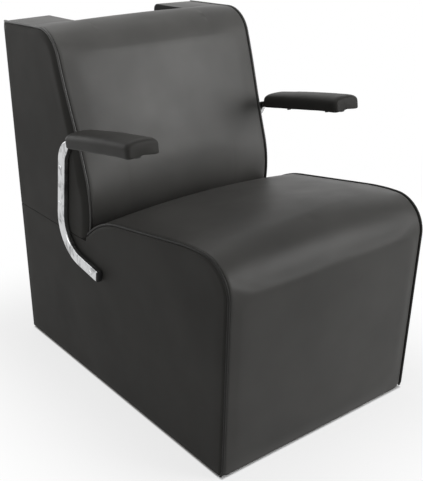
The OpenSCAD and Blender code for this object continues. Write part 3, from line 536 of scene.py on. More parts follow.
def make_seat():
    in_half = SEAT_HALF - WELT_STEP
    across = cross_stations(in_half, SEAT_EDGE_BAND, 8, 44)
    points = [seat_point(part, f, 0) for part, f in SEAT_ROWS]
    top, under = [], []
    for (part, f), p, run in zip(SEAT_ROWS, points, path_lengths(points)):
        pull = foot_pull(p[1])
        row, low = [], []
        for x in across:
            t = x / SEAT_HALF
            h = seat_swell(part, f) * (1 - t * t) - edge_dip(x, SEAT_HALF)
            h += pucker(run, x, SEAT_HALF) + slow_wave(run, x, SEAT_WAVE) * (1 - t ** 4)
            corner = max(0.0, 1 - (SEAT_HALF - abs(x)) / CORNER_REACH)
            foot = rounding(p[1] - GLIDE_H, SEAT_HEM) + corner * pull if part == 0 else 0.0
            row.append(place(x * (1 - CORNER_NARROWING * corner * pull / SEAT_HALF),
                             seat_point(part, f, foot - h)))
            low.append(place(x, seat_point(part, f, SEAT_PAD)))
        top.append(row)
        under.append(low)
    verts, faces = grid_solid(top, under)
    obj = piece("seat_cushion", verts, faces, VINYL, ["seat_cover"])
    co = np.array([v.co for v in obj.data.vertices])
    held = np.where((np.abs(co[:, 0]) > in_half - HELD_EDGE) | (co[:, 2] < GLIDE_H + SEAT_HELD_FOOT))[0]
    settle(obj, held)


# Back

FLAT_V = float(back_point(2, 1.0, 0)[0])
BACK_EDGE_BAND = 24 * MM
BACK_WAVE = 0.8 * MM
BACK_HELD_FOOT = 60 * MM
REAR_BAND = 10 * MM
REAR_ROLL = 9 * MM
REAR_HELD = 12 * MM
NOTCH_EDGE_R = NOTCH_ROLL - 0.5 * MM
NOTCH_SHADE_FACING = 0.6
SPREAD_TOP = 6 * MM
SPREAD_REAR = 3.5 * MM


def back_swell(part, f):
    """Crown of the back's cover. On the tops of the wings, f is the distance from the rear plane."""
    if part < 2:
        foot_part = FOOT_ROLL_H / (float(back_point(1, 1.0, 0)[1]) - SEAM_H)
        u = f * foot_part if part == 0 else mix(foot_part, 1.0, f)
        return mix(-SOFT_GAP, BACK_CROWN, ease((u - 0.15) / 0.5))
    if part == 2:
        return BACK_CROWN * mix(1.0, 0.5, ease(f))
    if f >= NOTCH_D:
        return BACK_CROWN * mix(0.1, 0.5, ease((f - NOTCH_D) / (FLAT_V - NOTCH_D)))
    return BACK_CROWN * mix(0.3, 0.1, ease(f / NOTCH_D))


def spread(p):
    """How far the seams of the back stand out beyond their foot, towards the top and the rear."""
    upward = SPREAD_TOP * ease((p[1] - 560 * MM) / (230 * MM))
    rearward = SPREAD_REAR * ease((150 * MM - p[0]) / (150 * MM)) * ease((p[1] - 700 * MM) / (150 * MM))
    return upward + rearward


def back_across(in_half):
    """Places across the back, closer together at the piping and at the sides of the notch."""
    outer = [in_half - BACK_EDGE_BAND * (1 - math.cos(QUARTER * i / 7)) for i in range(8)]
    wing_mid = [mix(in_half - BACK_EDGE_BAND, WING_IN + NOTCH_ROLL, i / 8) for i in range(1, 8)]
    inner = [WING_IN + NOTCH_ROLL * (1 - math.sin(QUARTER * i / 5)) for i in range(6)]
    middle = [mix(WING_IN, -WING_IN, i / 26) for i in range(1, 26)]
    right = outer + wing_mid + inner
    return np.array(right + middle + [-x for x in reversed(right)])


def back_rows():
    """Rows up the back and over its roll, then along the tops of the wings to the rear plane."""
    vs = list(np.linspace(FLAT_V, NOTCH_D + NOTCH_ROLL, 5)[1:])
    vs += [NOTCH_D + NOTCH_ROLL * (1 - math.sin(QUARTER * i / 5)) for i in range(1, 6)]
    vs += list(np.linspace(NOTCH_D, REAR_BAND, 13)[1:])
    vs += [REAR_BAND * (1 - math.sin(QUARTER * i / 5)) for i in range(1, 6)]
    return stations([18, 22, 22]) + [(3, v) for v in vs]


def beside_notch(rows, across):
    """Which cells between the rows are filled: all but those over the notch."""
    keep = np.ones((len(rows) - 1, len(across) - 1), bool)
    for i, (part, v) in enumerate(rows[1:]):
        for j in range(len(across) - 1):
            x = (across[j] + across[j + 1]) / 2
            if part == 3 and v < NOTCH_D - 1e-6 and abs(x) < WING_IN:
                keep[i][j] = False
    return keep


def make_back():
    """The back's cover and the tops of both wings are one skin round the notch."""
    in_half = BACK_HALF - WELT_STEP
    across = back_across(in_half)
    rows = back_rows()
    points = [back_top(0, f) if part == 3 else back_point(part, f, 0) for part, f in rows]
    top, under = [], []
    for (part, f), p, run in zip(rows, points, path_lengths(points)):
        row, low = [], []
        for x in across:
            t = x / BACK_HALF
            h = back_swell(part, f) * (1 - t * t) - edge_dip(x, BACK_HALF)
            h += pucker(run, x, BACK_HALF) + slow_wave(run + 3, x, BACK_WAVE) * (1 - t ** 4)
            wing_share = max(0.0, abs(x) - WING_IN - NOTCH_ROLL) / (in_half - WING_IN - NOTCH_ROLL)
            x = x + math.copysign(spread(p) * wing_share, x)
            if part == 3:
                gap = math.hypot(max(abs(x) - WING_IN, 0.0), max(f - NOTCH_D, 0.0))
                h -= rounding(gap, NOTCH_EDGE_R) + rounding(f, REAR_ROLL)
                row.append(place(x, back_top(-h, f)))
                low.append(place(x, back_top(BACK_PAD, f)))
            else:
                row.append(place(x, back_point(part, f, -h)))
                low.append(place(x, back_point(part, f, BACK_PAD)))
        top.append(row)
        under.append(low)
    verts, faces = grid_solid(top, under, beside_notch(rows, across))
    obj = piece("back_cushion", verts, faces, VINYL_PAINTED_LIGHT_BACK,
                ["back_cover", "wing_top_left", "wing_top_right"])
    # Faces of the notch's side walls get the near-black vinyl: painted shade in the notch.
    obj.data.materials.append(NOTCH_PAINTED_SHADE)
    for face in obj.data.polygons:
        if abs(face.normal.x) > NOTCH_SHADE_FACING and abs(face.center.x) < WING_IN + NOTCH_ROLL:
            face.material_index = 1
    co = np.array([v.co for v in obj.data.vertices])
    v_of = BODY_D / 2 - co[:, 1]
    near_notch = (np.abs(co[:, 0]) < WING_IN + 4 * MM) & (v_of < NOTCH_D + 14 * MM)
    held = np.where((np.abs(co[:, 0]) > in_half - HELD_EDGE) | (co[:, 2] < SEAM_H + BACK_HELD_FOOT)
                    | near_notch | (v_of < REAR_HELD))[0]
    settle(obj, held)


# Piping

WELT_WAVER = 0.03
WELT_FLARE = 0.6


def make_welt(name, points, ups, x, node):
    """A round cord under vinyl, swept along the seam. The seat's turns back and out at its foot."""
    on_seat = node.startswith("seat")
    loops = []
    for k, (p, up) in enumerate(zip(points, ups)):
        r = WELT_R * (1 + WELT_WAVER * ripple(k * 0.7, x * 9))
        pull = foot_pull(p[1]) if on_seat else 0.0
        mid = x + math.copysign(WELT_FLARE * pull if on_seat else spread(p), x)
        p = p - np.array([pull, 0.0])
        loops.append([place(mid + r * math.cos(a), p + up * r * math.sin(a))
                      for a in np.linspace(0, 2 * math.pi, 14, endpoint=False)])
    verts, faces = loops_solid(loops)
    # The seat's piping is darker as painted shade, the back's lighter as a painted highlight.
    piece(name, verts, faces, WELT_PAINTED_SHADE if on_seat else BACK_WELT_PAINTED_HIGHLIGHT, [node], sharp=60)


def seam_path(point, rows, **where):
    """Points along a seam, with the direction out of the surface at each."""
    points = [point(part, f, WELT_SINK, **where) for part, f in rows]
    outs = [point(part, f, WELT_SINK - MM, **where) for part, f in rows]
    ups = [(o - p) / max(1e-9, float(np.linalg.norm(o - p))) for o, p in zip(outs, points)]
    return points, ups


def make_welts():
    points, ups = seam_path(seat_point, stations([30, 24, 12, 24, 26]))
    welt_foot = float(seat_point(TUCK_PART, 1.0, 0)[1])
    back_points, back_ups = seam_path(back_point, stations([18, 20, 26, 14]), z=welt_foot, v=REAR_T)
    for side, word in ((1, "right"), (-1, "left")):
        make_welt(f"seat_piping_{word}", points, ups, side * SEAT_HALF, f"seat_welt_{word}")
        make_welt(f"back_piping_{word}", back_points, back_ups, side * BACK_HALF, f"back_welt_{word}")


# Side covers

BASE_FRONT = 24
SIDE_EDGE = {"base": stations([BASE_FRONT, 22, 10, 18, 18]), "back": stations([16, 18, 22, 12])}
SIDE_T = {"base": BASE_SIDE_T, "back": BACK_SIDE_T}
SIDE_REACH = {"base": 7 * MM, "back": 18 * MM}
SIDE_MID = {"base": np.array([0.46, 0.22]), "back": np.array([0.17, 0.58])}
SIDE_EDGE_R = 2.2 * MM
SIDE_RINGS = 9
SIDE_FIELD_RINGS = 19
SIDE_SINK = 0.5 * MM
SIDE_LONG_WAVE = 0.9 * MM
SIDE_SHORT_WAVE = 0.35 * MM
GAPE_H = 532 * MM
GAPE_SPAN = 27 * MM
GAPE_DEPTH = 5.5 * MM
FLARE_C = back_foot(0, SEAM_H + 6 * MM)
FLARE_REACH = 34 * MM
FLARE_DEPTH = 1.6 * MM
TONGUE_V = 290 * MM
TONGUE_REACH = 11 * MM


def gape(z):
    """The back's side cover has pulled away from the piping over a short length."""
    return GAPE_DEPTH * math.exp(-((z - GAPE_H) / GAPE_SPAN) ** 2)


def base_outline(d, e):
    """Outline of the base's side cover, d under the piped surface and e inside its other edges."""
    pts = [seat_point(part, f, d, SOFT_GAP + e) for part, f in SIDE_EDGE["base"]]
    high = SEAM_H - e
    top = max(high + MM, float(pts[-1][1]))
    pts += [back_foot(-SOFT_GAP - e, mix(top, high, i / 4)) for i in range(1, 4)]
    corner_v = float(back_foot(-SOFT_GAP - e, high)[0])
    pts += [np.array([mix(corner_v, e, i / 20), high]) for i in range(21)]
    pts += [np.array([e, mix(high, GLIDE_H + e, i / 14)]) for i in range(1, 15)]
    front = float(pts[0][0]) - foot_pull(GLIDE_H)
    pts += [np.array([mix(e, front, i / 30), GLIDE_H + e]) for i in range(1, 30)]
    for k in range(BASE_FRONT + 1):
        pts[k] = pts[k] - np.array([foot_pull(float(pts[k][1])), 0.0])
    pts[0][1] = GLIDE_H + e
    return pts


def back_outline(d, e, gaping):
    """Outline of a side cover of the back, d under the piped surface and e inside its other edges."""
    z = SEAM_H + SEAM_GAP + e
    pts = []
    for part, f in SIDE_EDGE["back"]:
        opened = gape(float(back_point(part, f, 0, z, e)[1])) if gaping else 0.0
        pts.append(back_point(part, f, d + opened, z, e))
    rear_top = float(pts[-1][1])
    front = float(pts[0][0])
    pts += [np.array([e, mix(rear_top, z, i / 24)]) for i in range(1, 25)]
    pts += [np.array([mix(e, front, i / 20), z]) for i in range(1, 20)]
    return pts


def rim_x(kind, k, p, t, gaping):
    """How far out point k of a side cover's outline stands, a share t of the way across its rim."""
    if k >= len(SIDE_EDGE[kind]):
        return HALF_W - SIDE_EDGE_R * (1 - math.sin(QUARTER * t))
    rim = HALF_W - SIDE_T[kind] + MM + (0.0 if kind == "base" else spread(p))
    if gaping:
        rim -= 0.8 * gape(float(p[1]))
    return mix(rim, HALF_W, 1 - (1 - t) ** 1.8)


def field_x(kind, q, f, side):
    """How far out a side cover stands inside its rim: slow waves, and folds at the back's low corner."""
    low = -SIDE_SINK + SIDE_LONG_WAVE * ripple(q[0] / 0.15, q[1] / 0.13, side * 2.0)
    low += SIDE_SHORT_WAVE * ripple(q[0] / 0.05, q[1] / 0.05, side * 5.0)
    x = HALF_W + min(0.0, low) * ease(f * 6)
    if kind == "back":
        away = float(np.linalg.norm(q - FLARE_C))
        folds = 0.6 + ripple(away / 0.012, q[1] / 0.03)
        x += FLARE_DEPTH * math.exp(-(away / FLARE_REACH) ** 2) * folds
    return x


def make_side(kind, side, word):
    """A padded side cover: full at its open edges, and drawn in at the piping."""
    gaping = kind == "back" and side < 0

    def outline(t):
        d, e = WELT_BED + SIDE_REACH[kind] * t, SIDE_EDGE_R * (1 - math.cos(QUARTER * t))
        return base_outline(d, e) if kind == "base" else back_outline(d, e, gaping)

    loops = [[place(side * (HALF_W - SIDE_T[kind] + SOFT_GAP), p) for p in outline(0.0)]]
    for i in range(SIDE_RINGS):
        t = (i / (SIDE_RINGS - 1)) ** 1.5
        loops.append([place(side * rim_x(kind, k, p, t, gaping), p) for k, p in enumerate(outline(t))])
    rim = outline(1.0)
    for i in range(1, SIDE_FIELD_RINGS):
        f = 1 - (1 - i / SIDE_FIELD_RINGS) ** 1.3
        ring = [mix(p, SIDE_MID[kind], f) for p in rim]
        loops.append([place(side * field_x(kind, q, f, side), q) for q in ring])
    verts, faces = loops_solid(loops)
    obj = piece(f"{kind}_side_{word}", verts, faces, VINYL_PAINTED_SHADE_SIDES,
                [f"{kind}_side_cover_{word}"], sharp=50)


def make_tongue(side, word):
    """The base cover laps over its panel where the back's side cover draws in above it."""
    x1 = HALF_W - BASE_SIDE_T + SOFT_GAP
    low, high = SEAM_H + 0.05 * MM, SEAM_H + 0.42 * MM
    front_v = float(back_foot(0, SEAM_H)[0]) - 3 * MM
    loops = []
    for i in range(13):
        a = math.pi * i / 12
        v = mix(front_v, TONGUE_V, (1 - math.cos(a)) / 2)
        wide = 1 - 0.3 * (1 - math.sin(a)) ** 2
        x0 = mix(x1, HALF_W - BASE_SIDE_T - TONGUE_REACH, wide)
        loops.append([place(side * x, np.array([v, z]))
                      for x, z in ((x0, low), (x1, low), (x1, high), (x0 + MM, high))])
    verts, faces = loops_solid(loops)
    piece(f"base_tongue_{word}", verts, faces, VINYL_PAINTED_SHADE_SIDES, sharp=50)


def make_sides():
    for side, word in ((1, "right"), (-1, "left")):
        make_tongue(side, word)
        for kind in ("base", "back"):
            make_side(kind, side, word)


# Arms

TUBE_T = 16 * MM
TUBE_H = 28 * MM
TUBE_TOP_H = 17 * MM
TUBE_WALL = 1.5 * MM
TUBE_R = 4.2 * MM
TUBE_X = HALF_W + SOFT_GAP
ARM_H = 560 * MM
ARM_SET = 61 * MM
UPPER_R = 55.5 * MM
NECK_SWEEP = math.radians(35)
LOWER_R = 89 * MM
TUBE_RUN = 141 * MM
TUBE_FOOT = 84 * MM
PAD_RISE = math.radians(8.6)
UPRIGHT_LEAN = math.radians(9.6)
FOOT_FALL = math.radians(9)
PAD_L = 268 * MM
PAD_W = 80 * MM
PAD_H = 35 * MM
PAD_START = 38 * MM
PAD_INBOARD = 3 * MM
SKIRT_H = 8 * MM
PAD_END_R = 16 * MM
PAD_LEVEL = 0.36 * PAD_H
PAD_LAP = 3 * MM
PAD_HUMP = 3 * MM
PAD_SAG = 2.8 * MM
PAD_DIMPLE = 1.5 * MM
PAD_RUCK = 0.4 * MM
PAD_TOP_POWER = 3.0
PAD_SKIRT_POWER = 9.0
PAD_END_POWER = 2.6
CORE_W = 62 * MM
CORE_T = 12 * MM
CORE_EDGE = 12 * MM
# Depth under the core's seat from which the room for core and tube is cut
CUT_UNDER = SKIRT_H + 12 * MM
CAP_INSET = 24 * MM
CAP_T = 3 * MM
CAP_TONGUE = 12 * MM
CAP_PLAY = 0.2 * MM
HEAD_R = 6 * MM
HEAD_H = 3.5 * MM
BOLT_R = 3 * MM
BOLT_REACH = 18 * MM
RECESS_R = 3.4 * MM
RECESS_HALF = 0.9 * MM
RECESS_DEPTH = 1.2 * MM

REAR_NORMAL = math.pi - UPRIGHT_LEAN
PAD_NORMAL = QUARTER + PAD_RISE
FOOT_NORMAL = 3 * QUARTER - FOOT_FALL
UPPER_C = np.array([BACK_FOOT_V - (ARM_H - SEAM_H) * math.tan(BACK_LEAN) - ARM_SET
                    - UPPER_R * math.cos(REAR_NORMAL), ARM_H])
RUN_TOP = UPPER_C + UPPER_R * turn(REAR_NORMAL)
RUN_END = RUN_TOP - TUBE_RUN * turn(QUARTER - UPRIGHT_LEAN)
LOWER_C = RUN_END - LOWER_R * turn(REAR_NORMAL)
FOOT_START = LOWER_C + LOWER_R * turn(FOOT_NORMAL)
FOOT_END = FOOT_START + TUBE_FOOT * turn(-FOOT_FALL)
PAD_RUN_START = UPPER_C + UPPER_R * turn(PAD_NORMAL)
PAD_RUN = PAD_START + PAD_L - CAP_INSET
TOP_RUN_R = UPPER_R + (TUBE_H - TUBE_TOP_H) / 2
TOP_RUN_START = UPPER_C + TOP_RUN_R * turn(PAD_NORMAL)
TOP_RUN_END = TOP_RUN_START + PAD_RUN * turn(PAD_RISE)
BOLT_PLACES = [mix(RUN_TOP, RUN_END, 0.12), mix(RUN_TOP, RUN_END, 0.8),
               FOOT_START + TUBE_FOOT * 0.72 * turn(-FOOT_FALL)]
BOLT_ENDS = [HALF_W - BACK_SIDE_T - BOLT_REACH, HALF_W - BACK_SIDE_T - BOLT_REACH,
             HALF_W - BASE_SIDE_T - BOLT_REACH]


def rounded_section(h, t, r, steps=5):
    """Rectangle h by t with corners of radius r."""
    pts = []
    for k, (a, b) in enumerate(((1, 1), (-1, 1), (-1, -1), (1, -1))):
        for i in range(steps + 1):
            u = turn(QUARTER * k + QUARTER * i / steps)
            pts.append((a * (h / 2 - r) + r * u[0], b * (t / 2 - r) + r * u[1]))
    return pts


def bend_depth(a):
    """Depth of the tube in its upper bend, where the end is pressed flat for the pad."""
    return mix(TUBE_TOP_H, TUBE_H, ease((a - PAD_NORMAL) / NECK_SWEEP))


def tube_path():
    """Centre line from the front end of the top run to the foot, with the outward normal and depth."""
    path = [(mix(TOP_RUN_END, TOP_RUN_START, i / 10), turn(PAD_NORMAL), TUBE_TOP_H) for i in range(10)]
    for a in np.linspace(PAD_NORMAL, REAR_NORMAL, 41):
        depth = bend_depth(a)
        path.append((UPPER_C + (UPPER_R + (TUBE_H - depth) / 2) * turn(a), turn(a), depth))
    path += [(mix(RUN_TOP, RUN_END, i / 10), turn(REAR_NORMAL), TUBE_H) for i in range(1, 10)]
    path += [(LOWER_C + LOWER_R * turn(a), turn(a), TUBE_H)
             for a in np.linspace(REAR_NORMAL, FOOT_NORMAL, 41)]
    path += [(mix(FOOT_START, FOOT_END, i / 6), turn(FOOT_NORMAL), TUBE_H) for i in range(1, 7)]
    return path


def make_tube(side, word):
    """Bent rectangular tube. The wall shows at both open ends, which the caps close."""
    skins = []
    for thin in (0.0, TUBE_WALL):
        skins.append([[place(side * (TUBE_X + TUBE_T / 2 + b), c + n * a)
                       for a, b in rounded_section(depth - 2 * thin, TUBE_T - 2 * thin, TUBE_R - thin)]
                      for c, n, depth in tube_path()])
    outer, inner = skins
    loops = outer + inner[::-1]
    n, m = len(outer[0]), len(loops)
    verts = [p for loop in loops for p in loop]
    faces = [[i * n + j, i * n + (j + 1) % n, ((i + 1) % m) * n + (j + 1) % n, ((i + 1) % m) * n + j]
             for i in range(m) for j in range(n)]
    piece(f"tube_{word}", verts, faces, CHROME, [f"arm_tube_{word}"], sharp=50)


def make_cap(name, end, along, depth, side, node):
    """End cap with a soft outer edge and a tongue in the tube."""
    normal = np.array([-along[1], along[0]])
    inside = TUBE_WALL + CAP_PLAY
    loops = []
    for reach, shrink in ((-CAP_TONGUE, inside), (0.0, inside), (0.0, 0.0),
                          (CAP_T - 1.2 * MM, 0.0), (CAP_T - 0.4 * MM, 0.35 * MM), (CAP_T, 1.3 * MM)):
        r = max(TUBE_R - shrink, 0.5 * MM)
        section = rounded_section(depth - 2 * shrink, TUBE_T - 2 * shrink, r)
        loops.append([place(side * (TUBE_X + TUBE_T / 2 + b), end + along * reach + normal * a)
                      for a, b in section])
    verts, faces = loops_solid(loops)
    piece(name, verts, faces, PLASTIC, [node], sharp=40)


def lathe(profile, steps=40):
    """Turned solid with its axis along z."""
    loops = [[(r * math.cos(a), r * math.sin(a), z)
              for a in np.linspace(0, 2 * math.pi, steps, endpoint=False)] for r, z in profile]
    return loops_solid(loops)


def make_bolts(side, word):
    """Domed heads with a cross recess, flat against the tube."""
    dome = [(HEAD_R * math.cos(a), HEAD_H * math.sin(a)) for a in np.linspace(0.12, 1.45, 10)]
    verts, faces = [], []
    face_x = TUBE_X + TUBE_T
    for p, end_x in zip(BOLT_PLACES, BOLT_ENDS):
        turned, rings = lathe([(BOLT_R, end_x - face_x), (BOLT_R, 0.0), (HEAD_R, 0.0)] + dome)
        first = len(verts)
        for x, y, z in turned:
            in_cross = min(abs(x), abs(y)) < RECESS_HALF and max(abs(x), abs(y)) < RECESS_R
            if in_cross and z > HEAD_H * 0.6:
                z = z - RECESS_DEPTH
            verts.append((side * (face_x + z), BODY_D / 2 - (p[0] + x), p[1] + y))
        faces += [[first + k for k in ring] for ring in rings]
    piece(f"bolts_{word}", verts, faces, CHROME, [f"arm_bolts_{word}"], sharp=40)


def pad_section(u, steps=72):
    """Section of a pad, u from its rear end: a crowned top over a skirt that sags at the front."""
    e = min(u, PAD_L - u, PAD_END_R) / PAD_END_R
    k = (1 - (1 - e) ** PAD_END_POWER) ** (1 / PAD_END_POWER)
    top = PAD_H - PAD_HUMP * (1 - math.sin(math.pi * u / PAD_L)) - PAD_LEVEL
    front = ease((u - (PAD_L - 60 * MM)) / (55 * MM))
    pts = []
    for a in np.linspace(0, 2 * math.pi, steps, endpoint=False):
        c, s = math.cos(a), math.sin(a)
        power = PAD_TOP_POWER if s > 0 else PAD_SKIRT_POWER
        w = PAD_W / 2 * mix(0.8, 1.0, k) * math.copysign(abs(c) ** (2 / power), c)
        h = math.copysign(abs(s) ** (2 / power), s)
        h *= top * mix(0.5, 1.0, k) if s > 0 else (PAD_LEVEL + PAD_LAP) * mix(0.85, 1.0, k)
        if s < 0:
            sag = PAD_SAG * abs(w / (PAD_W / 2)) ** 1.5
            h -= front * (sag - PAD_DIMPLE * math.exp(-(w / (5 * MM)) ** 2))
        pts.append((w, -SKIRT_H + PAD_LEVEL + h))
    return pts


def make_pad(side, word):
    """An armrest, with room in its underside for the wooden core and the tube."""
    us = [PAD_END_R * (1 - math.cos(QUARTER * i / 8)) for i in range(9)]
    us += [mix(PAD_END_R, PAD_L - PAD_END_R, i / 28) for i in range(1, 28)]
    us += [PAD_L - PAD_END_R * (1 - math.cos(QUARTER * i / 8)) for i in range(8, -1, -1)]
    along, up = turn(PAD_RISE), turn(PAD_NORMAL)
    origin = PAD_RUN_START + up * TUBE_H / 2 + along * PAD_START
    mid_x = TUBE_X + TUBE_T / 2 - PAD_INBOARD

    def at(u, w, h):
        return place(side * (mid_x + w), origin + along * u + up * h)

    loops = []
    for u in us:
        loops.append([at(u, w, h + PAD_RUCK * ripple(u / (18 * MM), w / (20 * MM), side * 3.3))
                      for w, h in pad_section(u)])
    verts, faces = loops_solid(loops)
    obj = piece(f"armrest_{word}", verts, faces, VINYL_PAINTED_SHADE_PADS, [f"arm_pad_{word}"], sharp=60)
    blocks = [(CORE_EDGE - SOFT_GAP, PAD_L - CORE_EDGE + SOFT_GAP, -CUT_UNDER, CORE_T + SOFT_GAP,
               -CORE_W / 2 - SOFT_GAP, CORE_W / 2 + SOFT_GAP),
              (-2 * MM, PAD_L - CAP_INSET + CAP_T + 3 * MM, -CUT_UNDER, SOFT_GAP,
               PAD_INBOARD - TUBE_T / 2 - SOFT_GAP, PAD_INBOARD + TUBE_T / 2 + SOFT_GAP)]
    for u0, u1, h0, h1, w0, w1 in blocks:
        cut_box(obj, [at(u, w, h) for u in (u0, u1) for h in (h0, h1) for w in (w0, w1)])
    shade(obj.data, 60)


def cut_box(obj, corners):
    """Cuts a box out of a piece."""
    cutter = solid_object("cut", corners, [[0, 1, 3, 2], [4, 6, 7, 5], [0, 4, 5, 1], [2, 3, 7, 6],
                                           [0, 2, 6, 4], [1, 5, 7, 3]])
    cut = obj.modifiers.new("cut", "BOOLEAN")
    cut.operation = "DIFFERENCE"
    cut.solver = "EXACT"
    cut.object = cutter
    shown = obj.evaluated_get(bpy.context.evaluated_depsgraph_get())
    made = bpy.data.meshes.new_from_object(shown)
    obj.modifiers.clear()
    obj.data = made
    bpy.data.objects.remove(cutter)


def make_arms():
    for side, word in ((1, "right"), (-1, "left")):
        make_tube(side, word)
        make_cap(f"foot_cap_{word}", FOOT_END, turn(-FOOT_FALL), TUBE_H, side,
                 f"arm_foot_cap_{word}")
        make_cap(f"front_cap_{word}", TOP_RUN_END, turn(PAD_RISE), TUBE_TOP_H, side,
                 f"arm_front_cap_{word}")
        make_bolts(side, word)
        make_pad(side, word)


# Rear covers

REAR_EDGE_R = 2 * MM
REAR_WAVE = 0.35 * MM


def rolled_stations(low, high):
    """Places across a rear cover, closer together at its rolled edges."""
    ends = [REAR_EDGE_R * (1 - math.cos(QUARTER * i / 4)) for i in range(5)]
    inner = list(np.linspace(low + REAR_EDGE_R, high - REAR_EDGE_R, 24)[1:-1])
    return [low + e for e in ends] + inner + [high - e for e in reversed(ends)]


def make_rear_cover(node, name):
    """A vinyl face on the rear plane, with rolled edges."""
    low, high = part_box(node)
    depth = high[1] - low[1]
    rows, unders = [], []
    for x in rolled_stations(low[0], high[0]):
        row, under = [], []
        for z in rolled_stations(low[2], high[2]):
            edge = min(x - low[0], high[0] - x, z - low[2], high[2] - z)
            dip = min(rounding(edge, REAR_EDGE_R), depth * 0.8)
            dip += REAR_WAVE * (1 + ripple(x / 0.1, z / 0.12, 1)) * ease(edge / (20 * MM))
            row.append((x, high[1] - dip, z))
            under.append((x, high[1] - depth, z))
        rows.append(row)
        unders.append(under)
    verts, faces = grid_solid(rows, unders)
    obj = piece(name, verts, faces, VINYL_PAINTED_SHADE_SIDES, [node], sharp=50)


def make_rear():
    for node, name in (("base_rear_cover", "base_rear"), ("wing_rear_cover_left", "wing_rear_left"),
                       ("wing_rear_cover_right", "wing_rear_right")):
        make_rear_cover(node, name)


# Floor, light and camera

FLOOR_HALF = 30.0
# Middle and half size of the chair's footprint on the floor
FLOOR_MID = (0.0, 0.0125, 0.0)
FLOOR_SHADED = (0.286, 0.4285, 0.0)
# Share of plain white in the floor beside the chair, and how far out the floor is all white
FLOOR_GLOW = 0.75
GLOW_REACH = 0.45
CONTACT_REACH = 0.006
WORLD_LIGHT = 0.12
CAMERA_AT = (-1.1929, -1.5538, 1.1755)
CAMERA_LENS = 62.99
CAMERA_YAW = 0.6603
CAMERA_PITCH = 0.4036
CAMERA_ROLL = -0.0065


def combined(nodes, links, operation, a, b):
    node = nodes.new("ShaderNodeMath")
    node.operation = operation
    links.new(a, node.inputs[0])
    links.new(b, node.inputs[1])
    return node.outputs[0]


def show_white(nodes, links, lit, white, share=None):
    """Camera, mirror and glass rays see plain white, or a share of it. Other light meets lit."""
    rays = nodes.new("ShaderNodeLightPath")
    seen = rays.outputs["Is Camera Ray"]
    for kind in ("Is Glossy Ray", "Is Transmission Ray"):
        seen = combined(nodes, links, "MAXIMUM", seen, rays.outputs[kind])
    if share is not None:
        seen = combined(nodes, links, "MULTIPLY", seen, share)
    pick = nodes.new("ShaderNodeMixShader")
    links.new(seen, pick.inputs[0])
    links.new(lit.outputs[0], pick.inputs[1])
    links.new(white.outputs[0], pick.inputs[2])
    return pick.outputs[0]


def from_footprint(nodes, links):
    """Distance of a point of the floor from the chair's footprint."""
    far = nodes.new("ShaderNodeTexCoord").outputs["Object"]
    for operation, amount in (("SUBTRACT", FLOOR_MID), ("ABSOLUTE", (0, 0, 0)), ("SUBTRACT", FLOOR_SHADED),
                              ("MAXIMUM", (0, 0, 0)), ("LENGTH", (0, 0, 0))):
        step = nodes.new("ShaderNodeVectorMath")
        step.operation = operation
        step.inputs[1].default_value = amount
        links.new(far, step.inputs[0])
        far = step.outputs["Value" if operation == "LENGTH" else "Vector"]
    return far


def make_stage():
    """A pale floor that fades to white, with a dark line where the chair meets it."""
    mesh = bpy.data.meshes.new("floor")
    mesh.from_pydata([(-FLOOR_HALF, -FLOOR_HALF, 0), (FLOOR_HALF, -FLOOR_HALF, 0),
                      (FLOOR_HALF, FLOOR_HALF, 0), (-FLOOR_HALF, FLOOR_HALF, 0)], [], [[0, 1, 2, 3]])
    floor = bpy.data.objects.new("floor", mesh)
    bpy.context.scene.collection.objects.link(floor)
    m, nodes, links, shader = new_material("pale_floor")
    speck = noise_at(nodes, links, scale=3.0, detail=2.0)
    links.new(colour_by(nodes, links, speck, (0.86, 0.86, 0.86), (0.9, 0.9, 0.9)),
              shader.inputs["Base Color"])
    shader.inputs["Roughness"].default_value = 0.9
    glow = nodes.new("ShaderNodeEmission")
    glow.inputs["Strength"].default_value = 1.0
    far = from_footprint(nodes, links)
    contact = number_by(nodes, links, far, 0.0, 1.0, CONTACT_REACH, "SMOOTHSTEP")
    fade = number_by(nodes, links, far, FLOOR_GLOW, 1.0, GLOW_REACH, "SMOOTHSTEP")
    share = combined(nodes, links, "MULTIPLY", contact, fade)
    links.new(show_white(nodes, links, shader, glow, share), nodes["Material Output"].inputs["Surface"])
    mesh.materials.append(m)


def make_world():
    world = bpy.data.worlds.new("studio")
    world.use_nodes = True
    bpy.context.scene.world = world
    nodes, links = world.node_tree.nodes, world.node_tree.links
    light = nodes["Background"]
    light.inputs["Color"].default_value = (1, 1, 1, 1)
    light.inputs["Strength"].default_value = WORLD_LIGHT
    white = nodes.new("ShaderNodeBackground")
    white.inputs["Color"].default_value = (1, 1, 1, 1)
    white.inputs["Strength"].default_value = 1.0
    links.new(show_white(nodes, links, light, white), nodes["World Output"].inputs["Surface"])


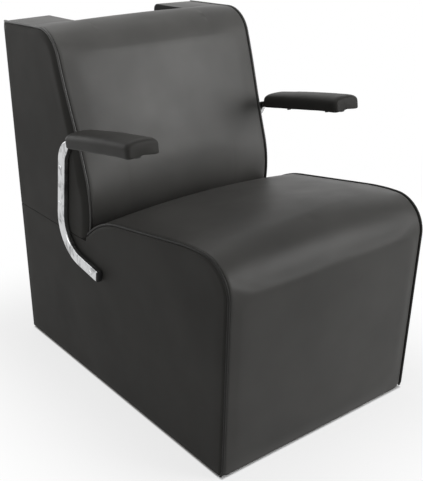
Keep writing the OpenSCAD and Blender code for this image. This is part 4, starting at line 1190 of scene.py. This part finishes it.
def area(name, place_at, aim, size, watts):
    lamp = bpy.data.lights.new(name, "AREA")
    lamp.shape = "RECTANGLE"
    lamp.size, lamp.size_y = size
    lamp.energy = watts
    obj = bpy.data.objects.new(name, lamp)
    obj.location = place_at
    obj.rotation_mode = "QUATERNION"
    obj.rotation_quaternion = (Vector(aim) - Vector(place_at)).to_track_quat("-Z", "Y")
    bpy.context.scene.collection.objects.link(obj)


def make_lights():
    area("key", (2.0, -2.9, 1.25), (0, 0.1, 0.6), (1.7, 1.5), 48)
    area("soft", (1.75, -2.6, 2.2), (0, 0.1, 0.6), (1.2, 1.2), 27)
    area("left", (-3.0, -0.6, 2.0), (0, 0, 0.4), (1.8, 1.8), 17)
    area("rear", (0.0, 1.2, 3.2), (0, 0, 0.5), (2.0, 2.0), 17)
    area("top", (-0.2, -0.7, 3.4), (0, 0, 0.4), (2.2, 2.2), 10)
    area("behind", (-0.9, 3.3, 1.1), (0, 0, 0.45), (2.0, 1.6), 17)
    area("right", (3.3, 0.7, 1.0), (0, 0, 0.4), (1.8, 1.6), 13)


def make_camera():
    data = bpy.data.cameras.new("camera")
    data.sensor_width = 36.0
    data.lens = CAMERA_LENS
    data.clip_end = 100.0
    obj = bpy.data.objects.new("camera", data)
    bpy.context.scene.collection.objects.link(obj)
    ahead = Vector((math.sin(CAMERA_YAW) * math.cos(CAMERA_PITCH),
                    math.cos(CAMERA_YAW) * math.cos(CAMERA_PITCH), -math.sin(CAMERA_PITCH)))
    level = Vector((math.cos(CAMERA_YAW), -math.sin(CAMERA_YAW), 0.0))
    upward = level.cross(ahead)
    right = level * math.cos(CAMERA_ROLL) + upward * math.sin(CAMERA_ROLL)
    up = upward * math.cos(CAMERA_ROLL) - level * math.sin(CAMERA_ROLL)
    turned = Matrix((right, up, -ahead)).transposed()
    obj.matrix_world = Matrix.Translation(CAMERA_AT) @ turned.to_4x4()
    bpy.context.scene.camera = obj


finish_solids()
make_camera()
make_seat()
make_back()
make_welts()
make_sides()
make_arms()
make_rear()
make_stage()
make_world()
make_lights()
bpy.context.scene.view_settings.view_transform = "Standard"
